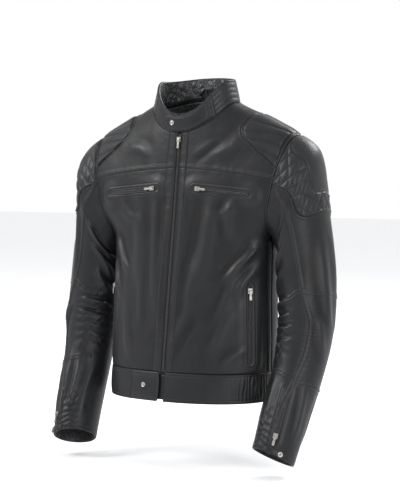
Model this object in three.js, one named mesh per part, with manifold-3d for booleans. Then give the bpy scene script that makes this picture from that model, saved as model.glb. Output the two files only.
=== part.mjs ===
// Leather riding jacket, fastened and hanging as if worn.
// Millimetres, +Z up, front towards -Y, wearer's left towards +X.
// The body, the collar and the sleeves are smooth surfaces drawn through a few rings. Every leather
// panel is a patch of one of those surfaces, thickened inwards, with a narrow gap at each seam.
import * as THREE from 'three';
import Module from 'manifold-3d';
import { mergeVertices } from 'three/addons/utils/BufferGeometryUtils.js';

// Heights above the hem.
const WAISTBAND_HEIGHT = 62;
const ARMPIT_HEIGHT = 337;
const SHOULDER_HEIGHT = 560;
const NECK_FRONT_HEIGHT = 565;
const NECK_SIDE_HEIGHT = 628;
const NECK_BACK_HEIGHT = 642;

// Half widths of the body, from the centre line to the side.
const HEM_HALF_WIDTH = 191;
const WAIST_HALF_WIDTH = 190;
const CHEST_HALF_WIDTH = 192;
const SHOULDER_HALF_WIDTH = 240;
const NECK_HALF_WIDTH = 98;
const ARMHOLE_SPREAD = 1.24;

// How far the body reaches forwards and backwards of the shoulder line.
const HEM_FRONT = 138;
const NECK_FRONT = 62;
const HEM_BACK = 118;
const CHEST_BACK = 125;
const NECK_BACK = 78;

// Stand collar.
const COLLAR_TOP_HALF_WIDTH = 84;
const COLLAR_FRONT_RISE = 40;
const COLLAR_SIDE_RISE = 50;
const COLLAR_BACK_RISE = 44;
const COLLAR_LEAN = 2;

// Sleeves.
const BICEP_HALF_WIDTH = 57;
const CUFF_HALF_WIDTH = 44;
const UPPER_ARM_DROP = 302;
const FOREARM_DROP = 246;
const FOREARM_REACH = 100;
const CUFF_SLANT = 11;

// Seam between the fronts and the yokes.
const YOKE_CENTRE_HEIGHT = 492;
const YOKE_ARMHOLE_HEIGHT = 468;

// Materials and seams.
const LEATHER = 2.6;
const LINING = 1;
const ARMOUR = 8;
const GAP = 0.3;
const NEST_ROOM = 0.9;
const PATCH_LIFT = 1.5;
const PATCH_INSET = 0.06;
const SEAM_LEVEL = 0.005;
const SEAM_TURN = 0.3;

// Main zip, in a slot between the two fronts.
const ZIP_SLOT_HALF = 6;
const CHAIN_HALF = 2.2;
const TAPE_HALF = 14;
const TAPE = 0.85;
const MAIN_CHAIN_TOP = -0.5;

// Pocket and cuff zips, each in a raised leather welt.
const WELT_HALF = 6.5;
const WELT_TOP = 1;
const POCKET_CHAIN_TOP = 2.2;
const CHEST_ZIP_INNER_X = 48;
const CHEST_ZIP_OUTER_X = 172;
const CHEST_ZIP_INNER_HEIGHT = 447;
const CHEST_ZIP_OUTER_HEIGHT = 436;
const HAND_ZIP_TOP_TURN = 61;
const HAND_ZIP_LOW_TURN = 64;
const HAND_ZIP_LOW_HEIGHT = 87;
const HAND_ZIP_HIGH_HEIGHT = 243;
const CUFF_ZIP_ANGLE = 70;

// Sliders and pulls.
const SLIDER_LENGTH = 11;
const SLIDER_HALF = 4.6;
const SLIDER_PLATE = 1.5;
const EAR_HEIGHT = 2.2;
const EAR_THICKNESS = 1;
const PULL_BARREL_RADIUS = 0.9;
const PULL_HALF = 2;
const PULL_LENGTH = 20;
const PULL_THICKNESS = 1.2;

// Snaps and the straps that they close.
const SNAP_CAP_RADIUS = 5.5;
const CAP_SEAT = 1.5;
const SNAP_CAP_HEIGHT = 2;
const SNAP_STUD_RADIUS = 4;
const SNAP_STUD_HEIGHT = 1.2;
const STRAP = 2.2;
const HEM_SNAP_X = 45;
const HEM_TAB_X = 80;
const COLLAR_SNAP_X = 16;
const COLLAR_TAB_END_X = 38;
const COLLAR_TAB_ROOT_X = 66;

// Hanger loop inside the back of the neck.
const LOOP_HALF_SPAN = 30;
const LOOP_FLAT_HALF = 15;
const LOOP_RISE = 14;
const LOOP_WIDTH = 8;
const LOOP_THICKNESS = 1.8;

const ROUNDNESS = 2.25;
const LEATHER_BLACK = { color: 0x26272a, roughness: 0.5, metalness: 0 };
const TRIM_BLACK = { color: 0x1d1e20, roughness: 0.6, metalness: 0 };
const LINING_BLACK = { color: 0x111318, roughness: 0.85, metalness: 0 };
const FOAM_GREY = { color: 0x50545a, roughness: 0.9, metalness: 0 };
const TAPE_BLACK = { color: 0x0d0d0e, roughness: 0.9, metalness: 0 };
const BRIGHT_METAL = { color: 0xb9b6ae, roughness: 0.28, metalness: 1 };

const wasm = await Module();
wasm.setup();

const jacket = new THREE.Group();
const garment = new THREE.Group();
jacket.add(garment);
const mix = THREE.MathUtils.lerp;
const radians = THREE.MathUtils.degToRad;
const point = (x, y, z) => new THREE.Vector3(x, y, z);

// ---------- smooth interpolation ----------

// Slope of a curve through evenly spaced values that never overshoots them.
function slopeAt(values, index) {
  const before = index > 0 ? values[index] - values[index - 1] : null;
  const after = index < values.length - 1 ? values[index + 1] - values[index] : null;
  if (before === null) return after;
  if (after === null) return before;
  return before * after > 0 ? 2 * before * after / (before + after) : 0;
}

function smooth(values, at) {
  const index = Math.min(Math.max(Math.floor(at), 0), values.length - 2);
  const t = at - index;
  const from = values[index];
  const to = values[index + 1];
  const leave = slopeAt(values, index);
  const arrive = slopeAt(values, index + 1);
  const rise = to - from;
  return from + t * (leave + t * (3 * rise - 2 * leave - arrive + t * (leave + arrive - 2 * rise)));
}

function bisect(value, low, high) {
  for (let step = 0; step < 40; step += 1) {
    const middle = (low + high) / 2;
    if (value(middle) > 0) high = middle;
    else low = middle;
  }
  return (low + high) / 2;
}

// ---------- body surface ----------

// Each ring: half width, heights at front, side and back, depth at the back, and where its widest
// point lies. Rings 5 and 6 pass through the armholes, so they run wider than the body.
const chestToNeck = (share) => mix(ARMPIT_HEIGHT, NECK_FRONT_HEIGHT, share);
const chestToShoulder = (share) => mix(ARMPIT_HEIGHT, SHOULDER_HEIGHT, share);
const chestToNape = (share) => mix(ARMPIT_HEIGHT, NECK_BACK_HEIGHT, share);
const shoulderToNeck = (share) => mix(SHOULDER_HEIGHT, NECK_SIDE_HEIGHT, share);
const shoulderIn = (share) => mix(SHOULDER_HALF_WIDTH, NECK_HALF_WIDTH, share);
const bandToArmpit = (share) => mix(WAISTBAND_HEIGHT, ARMPIT_HEIGHT, share);
const level = (half, front, side, back, reach, centre) => ({ half, front, side, back, reach, centre });
const flat = (half, height, reach) => level(half, height, height, height, reach, 0);
const BODY_RINGS = [
  flat(HEM_HALF_WIDTH, 0, HEM_BACK),
  flat(HEM_HALF_WIDTH, WAISTBAND_HEIGHT, HEM_BACK),
  flat(mix(HEM_HALF_WIDTH, WAIST_HALF_WIDTH, 0.6), bandToArmpit(0.32), HEM_BACK + 1),
  flat(WAIST_HALF_WIDTH, bandToArmpit(0.66), HEM_BACK + 2),
  flat(CHEST_HALF_WIDTH, ARMPIT_HEIGHT, CHEST_BACK),
  level(mix(CHEST_HALF_WIDTH, SHOULDER_HALF_WIDTH, 0.47) * ARMHOLE_SPREAD,
    chestToNeck(0.307), chestToShoulder(0.395), chestToNape(0.262), CHEST_BACK, 4),
  level(mix(CHEST_HALF_WIDTH, SHOULDER_HALF_WIDTH, 0.86) * ARMHOLE_SPREAD,
    chestToNeck(0.526), chestToShoulder(0.72), chestToNape(0.46), CHEST_BACK - 3, 10),
  level(SHOULDER_HALF_WIDTH,
    chestToNeck(0.7), SHOULDER_HEIGHT, chestToNape(0.656), mix(CHEST_BACK, NECK_BACK, 0.28), 20),
  level(shoulderIn(0.28), chestToNeck(0.8), shoulderToNeck(0.33), chestToNape(0.744),
    mix(CHEST_BACK, NECK_BACK, 0.55), 20),
  level(shoulderIn(0.635), chestToNeck(0.9), shoulderToNeck(0.68), chestToNape(0.852),
    mix(CHEST_BACK, NECK_BACK, 0.76), 17),
  level(NECK_HALF_WIDTH, NECK_FRONT_HEIGHT, NECK_SIDE_HEIGHT, NECK_BACK_HEIGHT, NECK_BACK, 8),
];
const BAND_LEVEL = 1;
const ARMPIT_LEVEL = 4;
const SHOULDER_LEVEL = 7;
const NECK_LEVEL = 10;
const column = (key) => BODY_RINGS.map((ring) => ring[key]);
const BODY = Object.fromEntries(Object.keys(BODY_RINGS[0]).map((key) => [key, column(key)]));

// The centre front runs straight from the collar to the hem.
const frontReach = (height) => mix(HEM_FRONT, NECK_FRONT, height / NECK_FRONT_HEIGHT);
const power = (value) => Math.sign(value) * Math.abs(value) ** (2 / ROUNDNESS);

// One point of a flattened round ring. turn is 0 at centre front, 90 at the wearer's left.
function ringPoint(turn, half, front, reach, centre, heights) {
  const sideways = Math.sin(radians(turn));
  const forwards = Math.cos(radians(turn));
  const depth = forwards > 0 ? front + centre : reach - centre;
  const end = forwards > 0 ? heights.front : heights.back;
  return point(half * power(sideways), centre - depth * power(forwards),
    mix(heights.side, end, forwards * forwards));
}

function bodyPoint(turn, at) {
  const heights = { front: smooth(BODY.front, at), side: smooth(BODY.side, at), back: smooth(BODY.back, at) };
  return ringPoint(turn, smooth(BODY.half, at), frontReach(heights.front), smooth(BODY.reach, at),
    smooth(BODY.centre, at), heights);
}

// The collar stands on the neck ring and leans in a little towards its top edge.
function collarPoint(turn, rise) {
  const heights = {
    front: NECK_FRONT_HEIGHT + rise * COLLAR_FRONT_RISE,
    side: NECK_SIDE_HEIGHT + rise * COLLAR_SIDE_RISE,
    back: NECK_BACK_HEIGHT + rise * COLLAR_BACK_RISE,
  };
  return ringPoint(turn, mix(NECK_HALF_WIDTH, COLLAR_TOP_HALF_WIDTH, rise), NECK_FRONT,
    NECK_BACK + rise * COLLAR_LEAN, BODY_RINGS[NECK_LEVEL].centre, heights);
}

// Outward unit normal of any surface given as a function of two numbers.
function normalOf(surface, first, second, stepFirst, stepSecond) {
  const across = surface(first + stepFirst, second).sub(surface(first - stepFirst, second));
  const up = surface(first, second + stepSecond).sub(surface(first, second - stepSecond));
  return across.cross(up).normalize();
}

const bodyNormal = (turn, at) => normalOf(bodyPoint, turn, Math.min(Math.max(at, 0.02), 9.98), 0.5, 0.02);
const collarNormal = (turn, rise) => normalOf(collarPoint, turn, rise, 0.5, 0.02);
const turnAtWidth = (half, x) => THREE.MathUtils.radToDeg(Math.asin((x / half) ** (ROUNDNESS / 2)));
const bodyTurn = (x, at) => turnAtWidth(smooth(BODY.half, at), x);
const collarTurn = (x) => turnAtWidth(mix(NECK_HALF_WIDTH, COLLAR_TOP_HALF_WIDTH, 0.5), x);

// ---------- armhole and sleeve surface ----------

// Both armholes are flat cuts through the shoulder point and the armpit.
const SHOULDER_POINT = bodyPoint(90, SHOULDER_LEVEL);
const ARMPIT_POINT = bodyPoint(90, ARMPIT_LEVEL);
const ARMHOLE_HALF = SHOULDER_POINT.clone().sub(ARMPIT_POINT).multiplyScalar(0.5);
const ARMHOLE_NORMAL = point(ARMHOLE_HALF.z, 0, -ARMHOLE_HALF.x).normalize();
const outside = (position) => position.clone().sub(SHOULDER_POINT).dot(ARMHOLE_NORMAL);

// Turn at which the body meets the armhole plane, at its front or back edge.
function armholeTurn(at, edge, clearance) {
  const reach = (turn) => outside(bodyPoint(turn, at)) + clearance;
  return edge === 'front' ? bisect(reach, 15, 90) : 180 - bisect((turn) => reach(180 - turn), 15, 90);
}

const armholeLevel = (angle) => mix(ARMPIT_LEVEL, SHOULDER_LEVEL, (1 + Math.cos(radians(angle))) / 2);

// The armhole's edge. angle is 0 at the shoulder, 90 at the front, 180 at the armpit.
function armholePoint(angle) {
  const at = armholeLevel(angle);
  const edge = Math.sin(radians(angle)) >= 0 ? 'front' : 'back';
  return bodyPoint(armholeTurn(at, edge, 0), at);
}

const ARMHOLE_FRONT = armholePoint(90);
const ARMHOLE_BACK = armholePoint(-90);
const ARMHOLE_CENTRE = point((SHOULDER_POINT.x + ARMPIT_POINT.x) / 2, (ARMHOLE_FRONT.y + ARMHOLE_BACK.y) / 2,
  (SHOULDER_POINT.z + ARMPIT_POINT.z) / 2);

// Each sleeve ring: its centre from the armhole's centre, how much of the armhole's and of the
// bicep's half width it keeps, and its half depth from front to back.
const hang = (out, back, share) => point(out, back, -UPPER_ARM_DROP * share);
const reach = (out, share, forward) => point(out, -18 - FOREARM_REACH * forward,
  -UPPER_ARM_DROP - FOREARM_DROP * share);
const CUFF_SHARE = CUFF_HALF_WIDTH / BICEP_HALF_WIDTH;
const SLEEVE_RINGS = [
  null,
  { centre: hang(25, 3, 0.08), hole: 0.88, bicep: 0.4, depth: 78 },
  { centre: hang(37, 6, 0.28), hole: 0.56, bicep: 0.6, depth: 74 },
  { centre: hang(46, 2, 0.55), hole: 0.14, bicep: 0.95, depth: 66 },
  { centre: hang(54, -10, 0.84), hole: 0, bicep: 1, depth: 62 },
  { centre: reach(55, 0, 0), hole: 0, bicep: 1, depth: 60 },
  { centre: reach(51, 0.3, 0.22), hole: 0, bicep: mix(1, CUFF_SHARE, 0.4), depth: 56 },
  { centre: reach(41, 0.73, 0.7), hole: 0, bicep: mix(1, CUFF_SHARE, 0.78), depth: 52, slant: CUFF_SLANT / 2 },
  { centre: reach(34, 1, 1), hole: 0, bicep: CUFF_SHARE, depth: 50, slant: CUFF_SLANT },
];
const SLEEVE_END = 8;
const ELBOW_TOP = 3.95;
const ELBOW_END = 6.3;

function sleeveRingPoint(angle, index) {
  if (index === 0) return armholePoint(angle).addScaledVector(ARMHOLE_NORMAL, GAP);
  const ring = SLEEVE_RINGS[index];
  const before = SLEEVE_RINGS[Math.max(index - 1, 1)].centre;
  const after = SLEEVE_RINGS[Math.min(index + 1, SLEEVE_END)].centre;
  const down = after.clone().sub(before).normalize();
  const lateral = ARMHOLE_HALF.clone().multiplyScalar(ring.hole);
  lateral.x += BICEP_HALF_WIDTH * ring.bicep;
  lateral.z -= ring.slant ?? 0;
  const forward = down.clone().cross(lateral).normalize().multiplyScalar(ring.depth);
  return ARMHOLE_CENTRE.clone().add(ring.centre)
    .addScaledVector(lateral, Math.cos(radians(angle)))
    .addScaledVector(forward, Math.sin(radians(angle)));
}

// along is 0 at the armhole and 8 at the cuff; angle is 0 at the outside, 90 at the front.
function sleevePoint(angle, along) {
  const index = Math.min(Math.floor(along), SLEEVE_END - 1);
  const t = along - index;
  const ring = (step) => sleeveRingPoint(angle, Math.min(Math.max(index + step, 0), SLEEVE_END));
  const [before, from, to, after] = [ring(-1), ring(0), ring(1), ring(2)];
  const spline = (a, b, c, d) => b + 0.5 * t * (c - a + t * (2 * a - 5 * b + 4 * c - d + t * (3 * (b - c) + d - a)));
  return point(spline(before.x, from.x, to.x, after.x), spline(before.y, from.y, to.y, after.y),
    spline(before.z, from.z, to.z, after.z));
}

// Near the armhole the thickness is laid within the armhole's plane, so no sleeve panel crosses it.
function sleeveNormal(angle, along) {
  const at = Math.min(Math.max(along, 0.03), SLEEVE_END - 0.03);
  const normal = normalOf(sleevePoint, angle, at, 0.5, 0.02);
  const hold = Math.max(0, 1 - along / 0.6);
  return normal.addScaledVector(ARMHOLE_NORMAL, -hold * normal.dot(ARMHOLE_NORMAL)).normalize();
}

// ---------- solids ----------

// Closed geometry from shared vertices and triangles, with its faces turned outwards.
function solid(vertices, triangles) {
  const volume = triangles.reduce((sum, [a, b, c]) =>
    sum + vertices[a].dot(vertices[b].clone().cross(vertices[c])), 0);
  const order = volume < 0 ? triangles.map(([a, b, c]) => [a, c, b]) : triangles;
  const geometry = new THREE.BufferGeometry();
  geometry.setAttribute('position', new THREE.Float32BufferAttribute(vertices.flatMap((v) => v.toArray()), 3));
  geometry.setIndex(order.flat());
  return geometry;
}

// A patch of a surface, thickened between two offsets along its normal.
// place(u, v) gives { position, normal } for u and v from 0 to 1.
function patch(place, columns, rows, outer, inner) {
  const vertices = [];
  const triangles = [];
  const width = columns.length;
  const layer = width * rows.length;
  for (const offset of [outer, inner]) {
    for (const v of rows) {
      for (const u of columns) {
        const { position, normal } = place(u, v);
        vertices.push(position.clone().addScaledVector(normal, offset));
      }
    }
  }
  const quad = (a, b, c, d) => triangles.push([a, b, c], [a, c, d]);
  for (let row = 0; row < rows.length - 1; row += 1) {
    for (let col = 0; col < width - 1; col += 1) {
      const corner = row * width + col;
      quad(corner, corner + 1, corner + width + 1, corner + width);
      quad(layer + corner, layer + corner + width, layer + corner + width + 1, layer + corner + 1);
    }
  }
  const rim = [];
  for (let col = 0; col < width - 1; col += 1) rim.push(col);
  for (let row = 0; row < rows.length - 1; row += 1) rim.push(row * width + width - 1);
  for (let col = width - 1; col > 0; col -= 1) rim.push((rows.length - 1) * width + col);
  for (let row = rows.length - 1; row > 0; row -= 1) rim.push(row * width);
  rim.forEach((corner, index) => {
    const next = rim[(index + 1) % rim.length];
    quad(next, corner, layer + corner, layer + next);
  });
  return solid(vertices, triangles);
}

// Even steps from 0 to 1, with any extra values that an edge needs.
function steps(count, extra = []) {
  const even = Array.from({ length: count + 1 }, (_, index) => index / count);
  const kept = even.filter((value) => extra.every((own) => Math.abs(own - value) > 0.4 / count));
  return [...kept, ...extra].sort((a, b) => a - b);
}

// A closed run of outlines, each a loop of points drawn across x, capped at both ends.
function loft(outlines) {
  const drawn = outlines[0].map((corner) => new THREE.Vector2(corner.y, corner.z));
  const backwards = THREE.ShapeUtils.isClockWise(drawn);
  const loops = backwards ? outlines.map((outline) => [...outline].reverse()) : outlines;
  const size = drawn.length;
  const last = (loops.length - 1) * size;
  const triangles = [];
  for (let ring = 0; ring < last; ring += size) {
    for (let index = 0; index < size; index += 1) {
      const a = ring + index;
      const b = ring + (index + 1) % size;
      triangles.push([a, b, b + size], [a, b + size, a + size]);
    }
  }
  const cap = backwards ? drawn.reverse() : drawn;
  for (const [a, b, c] of THREE.ShapeUtils.triangulateShape(cap, [])) {
    triangles.push([c, b, a], [a + last, b + last, c + last]);
  }
  return solid(loops.flat(), triangles);
}

function toManifold(geometry) {
  const bare = geometry.clone();
  bare.deleteAttribute('normal');
  bare.deleteAttribute('uv');
  const merged = mergeVertices(bare, 1e-4);
  return new wasm.Manifold(new wasm.Mesh({
    numProp: 3,
    vertProperties: new Float32Array(merged.attributes.position.array),
    triVerts: new Uint32Array(merged.index.array),
  }));
}

function fromManifold(manifold) {
  const mesh = manifold.getMesh();
  const geometry = new THREE.BufferGeometry();
  geometry.setAttribute('position', new THREE.BufferAttribute(new Float32Array(mesh.vertProperties), 3));
  geometry.setIndex(new THREE.BufferAttribute(new Uint32Array(mesh.triVerts), 1));
  return geometry;
}

const join = (...pieces) => fromManifold(pieces.map(toManifold).reduce((whole, piece) => whole.add(piece)));
const cut = (body, ...tools) => fromManifold(tools.map(toManifold)
  .reduce((whole, tool) => whole.subtract(tool), toManifold(body)));

// Box between two corners.
function block(low, high) {
  const geometry = new THREE.BoxGeometry(high[0] - low[0], high[1] - low[1], high[2] - low[2]);
  return geometry.translate((low[0] + high[0]) / 2, (low[1] + high[1]) / 2, (low[2] + high[2]) / 2);
}

// Moves geometry drawn with x along, y across and z outwards into a frame on the garment.
function seat(geometry, frame) {
  const matrix = new THREE.Matrix4().makeBasis(frame.along, frame.side, frame.out);
  return geometry.clone().applyMatrix4(matrix.setPosition(frame.origin));
}

function frameOf(origin, along, outwards) {
  const ahead = along.clone().normalize();
  const out = outwards.clone().addScaledVector(ahead, -outwards.dot(ahead)).normalize();
  return { origin, along: ahead, out, side: out.clone().cross(ahead) };
}

const local = (frame, position) => {
  const away = position.clone().sub(frame.origin);
  return point(away.dot(frame.along), away.dot(frame.side), away.dot(frame.out));
};

function mirrored(geometry) {
  const flipped = geometry.clone().applyMatrix4(new THREE.Matrix4().makeScale(-1, 1, 1));
  const index = flipped.index ?? mergeVertices(flipped).index;
  const order = Array.from(index.array);
  for (let corner = 0; corner < order.length; corner += 3) {
    [order[corner + 1], order[corner + 2]] = [order[corner + 2], order[corner + 1]];
  }
  flipped.setIndex(order);
  return flipped;
}

// ---------- adding pieces, one side or both ----------

const pivots = {};

function add(name, geometry, finish) {
  const mesh = new THREE.Mesh(geometry, new THREE.MeshStandardMaterial(finish));
  mesh.name = name;
  garment.add(mesh);
}

// geometry is the wearer's left; its mirror image is the right.
function addPair(name, geometry, finish) {
  add(`${name}_left`, geometry, finish);
  add(`${name}_right`, mirrored(geometry), finish);
}

const pivot = (name, at, axis) => { pivots[name] = { at, axis }; };

function pivotPair(name, at, axis, turning) {
  const flipped = turning ? point(axis.x, -axis.y, -axis.z) : point(-axis.x, axis.y, axis.z);
  pivot(`${name}_left`, at, axis);
  pivot(`${name}_right`, point(-at.x, at.y, at.z), flipped);
}

// ---------- leather panels of the body ----------

// A patch of the body between two levels and two turns; each limit is a function.
function bodyPatch(lowLevel, highLevel, fromTurn, toTurn) {
  return (u, v) => {
    const at = mix(lowLevel(u), highLevel(u), v);
    const turn = mix(fromTurn(at), toTurn(at), u);
    return { position: bodyPoint(turn, at), normal: bodyNormal(turn, at) };
  };
}

const always = (value) => () => value;
const levelAt = (turn, height) => bisect((at) => bodyPoint(turn(at), at).z - height, 0.1, 6.99);
const zipEdge = (at) => bodyTurn(ZIP_SLOT_HALF, at);

// Turn of a panel's outer edge: the side seam, then the armhole, then the shoulder seam.
function sideEdge(edge) {
  const seam = edge === 'front' ? 90 - SEAM_TURN : 90 + SEAM_TURN;
  return (at) => (at > ARMPIT_LEVEL && at < SHOULDER_LEVEL ? armholeTurn(at, edge, GAP) : seam);
}

const YOKE_CENTRE_LEVEL = levelAt(always(0), YOKE_CENTRE_HEIGHT);
const YOKE_ARMHOLE_LEVEL = levelAt((at) => armholeTurn(at, 'front', 0), YOKE_ARMHOLE_HEIGHT);
const yokeSeam = (u) => mix(YOKE_CENTRE_LEVEL, YOKE_ARMHOLE_LEVEL, u);

function makeFronts() {
  const low = BAND_LEVEL + SEAM_LEVEL;
  const place = bodyPatch(always(low), (u) => yokeSeam(u) - SEAM_LEVEL, zipEdge, sideEdge('front'));
  const armpit = (ARMPIT_LEVEL - low) / (YOKE_ARMHOLE_LEVEL - SEAM_LEVEL - low);
  addPair('front_panel', patch(place, steps(9), steps(10, [armpit, armpit + 0.02, armpit + 0.09]), 0, -LEATHER),
    LEATHER_BLACK);
}

function makeYokes() {
  const place = bodyPatch((u) => yokeSeam(u) + SEAM_LEVEL, always(NECK_LEVEL), zipEdge, sideEdge('front'));
  const low = YOKE_ARMHOLE_LEVEL + SEAM_LEVEL;
  const shoulder = (SHOULDER_LEVEL - low) / (NECK_LEVEL - low);
  addPair('front_yoke', patch(place, steps(9), steps(6, [shoulder - 0.03, shoulder]), 0, -LEATHER), LEATHER_BLACK);
}

function makeBack() {
  const low = BAND_LEVEL + SEAM_LEVEL;
  const edge = sideEdge('back');
  const place = bodyPatch(always(low), always(NECK_LEVEL), edge, (at) => 360 - edge(at));
  const share = (at) => (at - low) / (NECK_LEVEL - low);
  const extra = [share(ARMPIT_LEVEL), share(4.08), share(4.4), share(6.7), share(6.95), share(SHOULDER_LEVEL)];
  add('back_panel', patch(place, steps(14), steps(9, extra), 0, -LEATHER), LEATHER_BLACK);
}

// The padded shoulder patch lies over the front yoke and the back, from the armhole to a curved
// border. It is drawn as an arch from its front point, over the shoulder, to its back point.
function makeShoulderPatches() {
  const reachAngle = 64;
  const borderTurns = [60, 58, 55, 57, 68, 90, 112, 123, 125, 122, 120];
  const borderLevels = [6.25, 7.3, 8.1, 8.6, 8.8, 8.85, 8.8, 8.6, 8.1, 7.3, 6.25];
  const place = (u, v) => {
    const angle = mix(reachAngle, -reachAngle, v);
    const at = Math.min(armholeLevel(angle), SHOULDER_LEVEL - 0.001);
    const edge = angle >= 0 ? 'front' : 'back';
    const along = v * (borderTurns.length - 1);
    const share = mix(PATCH_INSET, 1, u);
    const turn = mix(armholeTurn(at, edge, GAP), smooth(borderTurns, along), share);
    const mixed = mix(at, smooth(borderLevels, along), share);
    return { position: bodyPoint(turn, mixed), normal: bodyNormal(turn, mixed) };
  };
  addPair('shoulder_patch', patch(place, steps(6), steps(16), PATCH_LIFT + STRAP, PATCH_LIFT), TRIM_BLACK);
}

function makeWaistband() {
  const top = BAND_LEVEL - SEAM_LEVEL;
  const rows = steps(2);
  const band = (from, to) => bodyPatch(always(0), always(top), from, to);
  const tabTurn = bodyTurn(HEM_TAB_X, 0.5);
  add('waistband_left', patch(band(zipEdge, always(90 - SEAM_TURN)), steps(9), rows, 0, -LEATHER), LEATHER_BLACK);
  const right = band(always(270 + SEAM_TURN), always(360 - tabTurn - SEAM_TURN));
  add('waistband_right', patch(right, steps(7), rows, 0, -LEATHER), LEATHER_BLACK);
  add('waistband_back', patch(band(always(90 + SEAM_TURN), always(270 - SEAM_TURN)), steps(14), rows, 0, -LEATHER),
    LEATHER_BLACK);
  makeHemTab(tabTurn, top, rows);
}

// The end of the right band laps over the left band's underlap and snaps shut.
function makeHemTab(tabTurn, top, rows) {
  const lift = SNAP_STUD_HEIGHT + 2 * GAP - LEATHER;
  const edge = 360 - bodyTurn(ZIP_SLOT_HALF, 0.5);
  const tab = bodyPatch(always(0.01), always(top), always(360 - tabTurn), always(edge));
  add('hem_tab', patch(tab, steps(6), rows, lift + LEATHER, lift), LEATHER_BLACK);
  const under = -LEATHER - GAP - NEST_ROOM;
  const underlap = bodyPatch(always(0.08), always(0.92), always(360 - bodyTurn(HEM_SNAP_X + 16, 0.5)),
    always(360 + bodyTurn(40, 0.5)));
  add('hem_underlap', patch(underlap, steps(8), rows, under, under - STRAP), TRIM_BLACK);
  const snapTurn = -bodyTurn(HEM_SNAP_X, 0.5);
  const middle = bodyPoint(snapTurn, 0.55);
  const out = bodyNormal(snapTurn, 0.55);
  add('hem_snap_stud', disc(middle, out, under + GAP, lift - under - 2 * GAP, SNAP_STUD_RADIUS), BRIGHT_METAL);
  add('hem_snap_cap', disc(middle, out, lift + LEATHER + GAP, SNAP_CAP_HEIGHT, SNAP_CAP_RADIUS), BRIGHT_METAL);
  pivot('hem_tab', bodyPoint(-tabTurn, 0.5).addScaledVector(bodyNormal(-tabTurn, 0.5), lift + LEATHER),
    bodyPoint(-tabTurn, 0).sub(bodyPoint(-tabTurn, BAND_LEVEL)));
}

// A round disc standing off a surface, from a height along its normal.
function disc(centre, normal, from, thickness, radius) {
  const geometry = new THREE.CylinderGeometry(radius, radius, thickness, 16);
  geometry.rotateX(Math.PI / 2).translate(0, 0, from + thickness / 2);
  const along = point(1, 0, 0).addScaledVector(normal, -normal.x);
  return seat(geometry, frameOf(centre, along, normal));
}

// ---------- collar ----------

function collarPatch(low, high, from, to) {
  return (u, v) => {
    const turn = mix(from, to, u);
    const rise = mix(low, high, v);
    return { position: collarPoint(turn, rise), normal: collarNormal(turn, rise) };
  };
}

function makeCollar() {
  const meet = collarTurn(0.6);
  const sweep = steps(26);
  const shell = collarPatch(0.02, 1, meet, 360 - meet);
  add('collar_shell', patch(shell, sweep, steps(2), 0, -LEATHER), LEATHER_BLACK);
  const lining = collarPatch(0.04, 0.94, meet, 360 - meet);
  add('collar_lining', patch(lining, sweep, steps(2), -LEATHER - GAP, -LEATHER - GAP - LINING), LINING_BLACK);
  makeCollarTab();
}

// The wearer's left end of the collar laps over the zip and snaps to the right.
function makeCollarTab() {
  const root = collarTurn(COLLAR_TAB_ROOT_X);
  const lift = SNAP_STUD_HEIGHT + 2 * GAP;
  const tab = collarPatch(0.1, 0.9, -collarTurn(COLLAR_TAB_END_X), root);
  add('collar_tab', patch(tab, steps(8), steps(2), lift + STRAP, lift), LEATHER_BLACK);
  const snapTurn = -collarTurn(COLLAR_SNAP_X);
  const middle = collarPoint(snapTurn, 0.5);
  const out = collarNormal(snapTurn, 0.5);
  add('collar_snap_stud', disc(middle, out, GAP, SNAP_STUD_HEIGHT, SNAP_STUD_RADIUS), BRIGHT_METAL);
  add('collar_snap_cap', disc(middle, out, lift + STRAP + GAP, SNAP_CAP_HEIGHT, SNAP_CAP_RADIUS), BRIGHT_METAL);
  const axis = collarPoint(root, 1).sub(collarPoint(root, 0)).normalize();
  pivot('collar_tab', collarPoint(root, 0.5).addScaledVector(collarNormal(root, 0.5), lift + STRAP / 2), axis);
}

// ---------- zips ----------

function makeSlider(chainTop, flangeDrop) {
  const plate = chainTop + GAP;
  const top = plate + SLIDER_PLATE;
  const flangeInner = CHAIN_HALF + GAP + 0.1;
  const earInner = PULL_HALF + GAP;
  const pieces = [block([0, -SLIDER_HALF, plate], [SLIDER_LENGTH, SLIDER_HALF, top])];
  const overlap = 0.2;
  for (const side of [-1, 1]) {
    const spanFlange = [side * flangeInner, side * SLIDER_HALF].sort((a, b) => a - b);
    pieces.push(block([0, spanFlange[0], plate - flangeDrop], [SLIDER_LENGTH, spanFlange[1], plate + overlap]));
    const spanEar = [side * earInner, side * (earInner + EAR_THICKNESS)].sort((a, b) => a - b);
    pieces.push(block([3, spanEar[0], top - overlap], [7, spanEar[1], top + EAR_HEIGHT]));
  }
  return join(...pieces);
}

// The pull's barrel lies between the slider's ears. Its tongue lies along the chain, or away from it
// where the chain runs up from the slider.
const PULL_X = 5;
const pullHeight = (chainTop) => chainTop + 2 * GAP + SLIDER_PLATE + PULL_BARREL_RADIUS;

function makePull(chainTop, facing) {
  const barrel = new THREE.CylinderGeometry(PULL_BARREL_RADIUS, PULL_BARREL_RADIUS, 2 * PULL_HALF, 10);
  const tongue = new THREE.Shape();
  const endHalf = PULL_HALF + 0.8;
  tongue.moveTo(0, -PULL_HALF + 0.2);
  tongue.lineTo(PULL_LENGTH - endHalf, -endHalf);
  tongue.absarc(PULL_LENGTH - endHalf, 0, endHalf, -Math.PI / 2, Math.PI / 2, false);
  tongue.lineTo(0, PULL_HALF - 0.2);
  const plate = new THREE.ExtrudeGeometry(tongue, { depth: PULL_THICKNESS, bevelEnabled: false, curveSegments: 6 });
  plate.translate(0, 0, -PULL_THICKNESS / 2);
  const pull = facing < 0 ? join(barrel, plate).rotateZ(Math.PI) : join(barrel, plate);
  return pull.translate(PULL_X, 0, pullHeight(chainTop));
}

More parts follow.
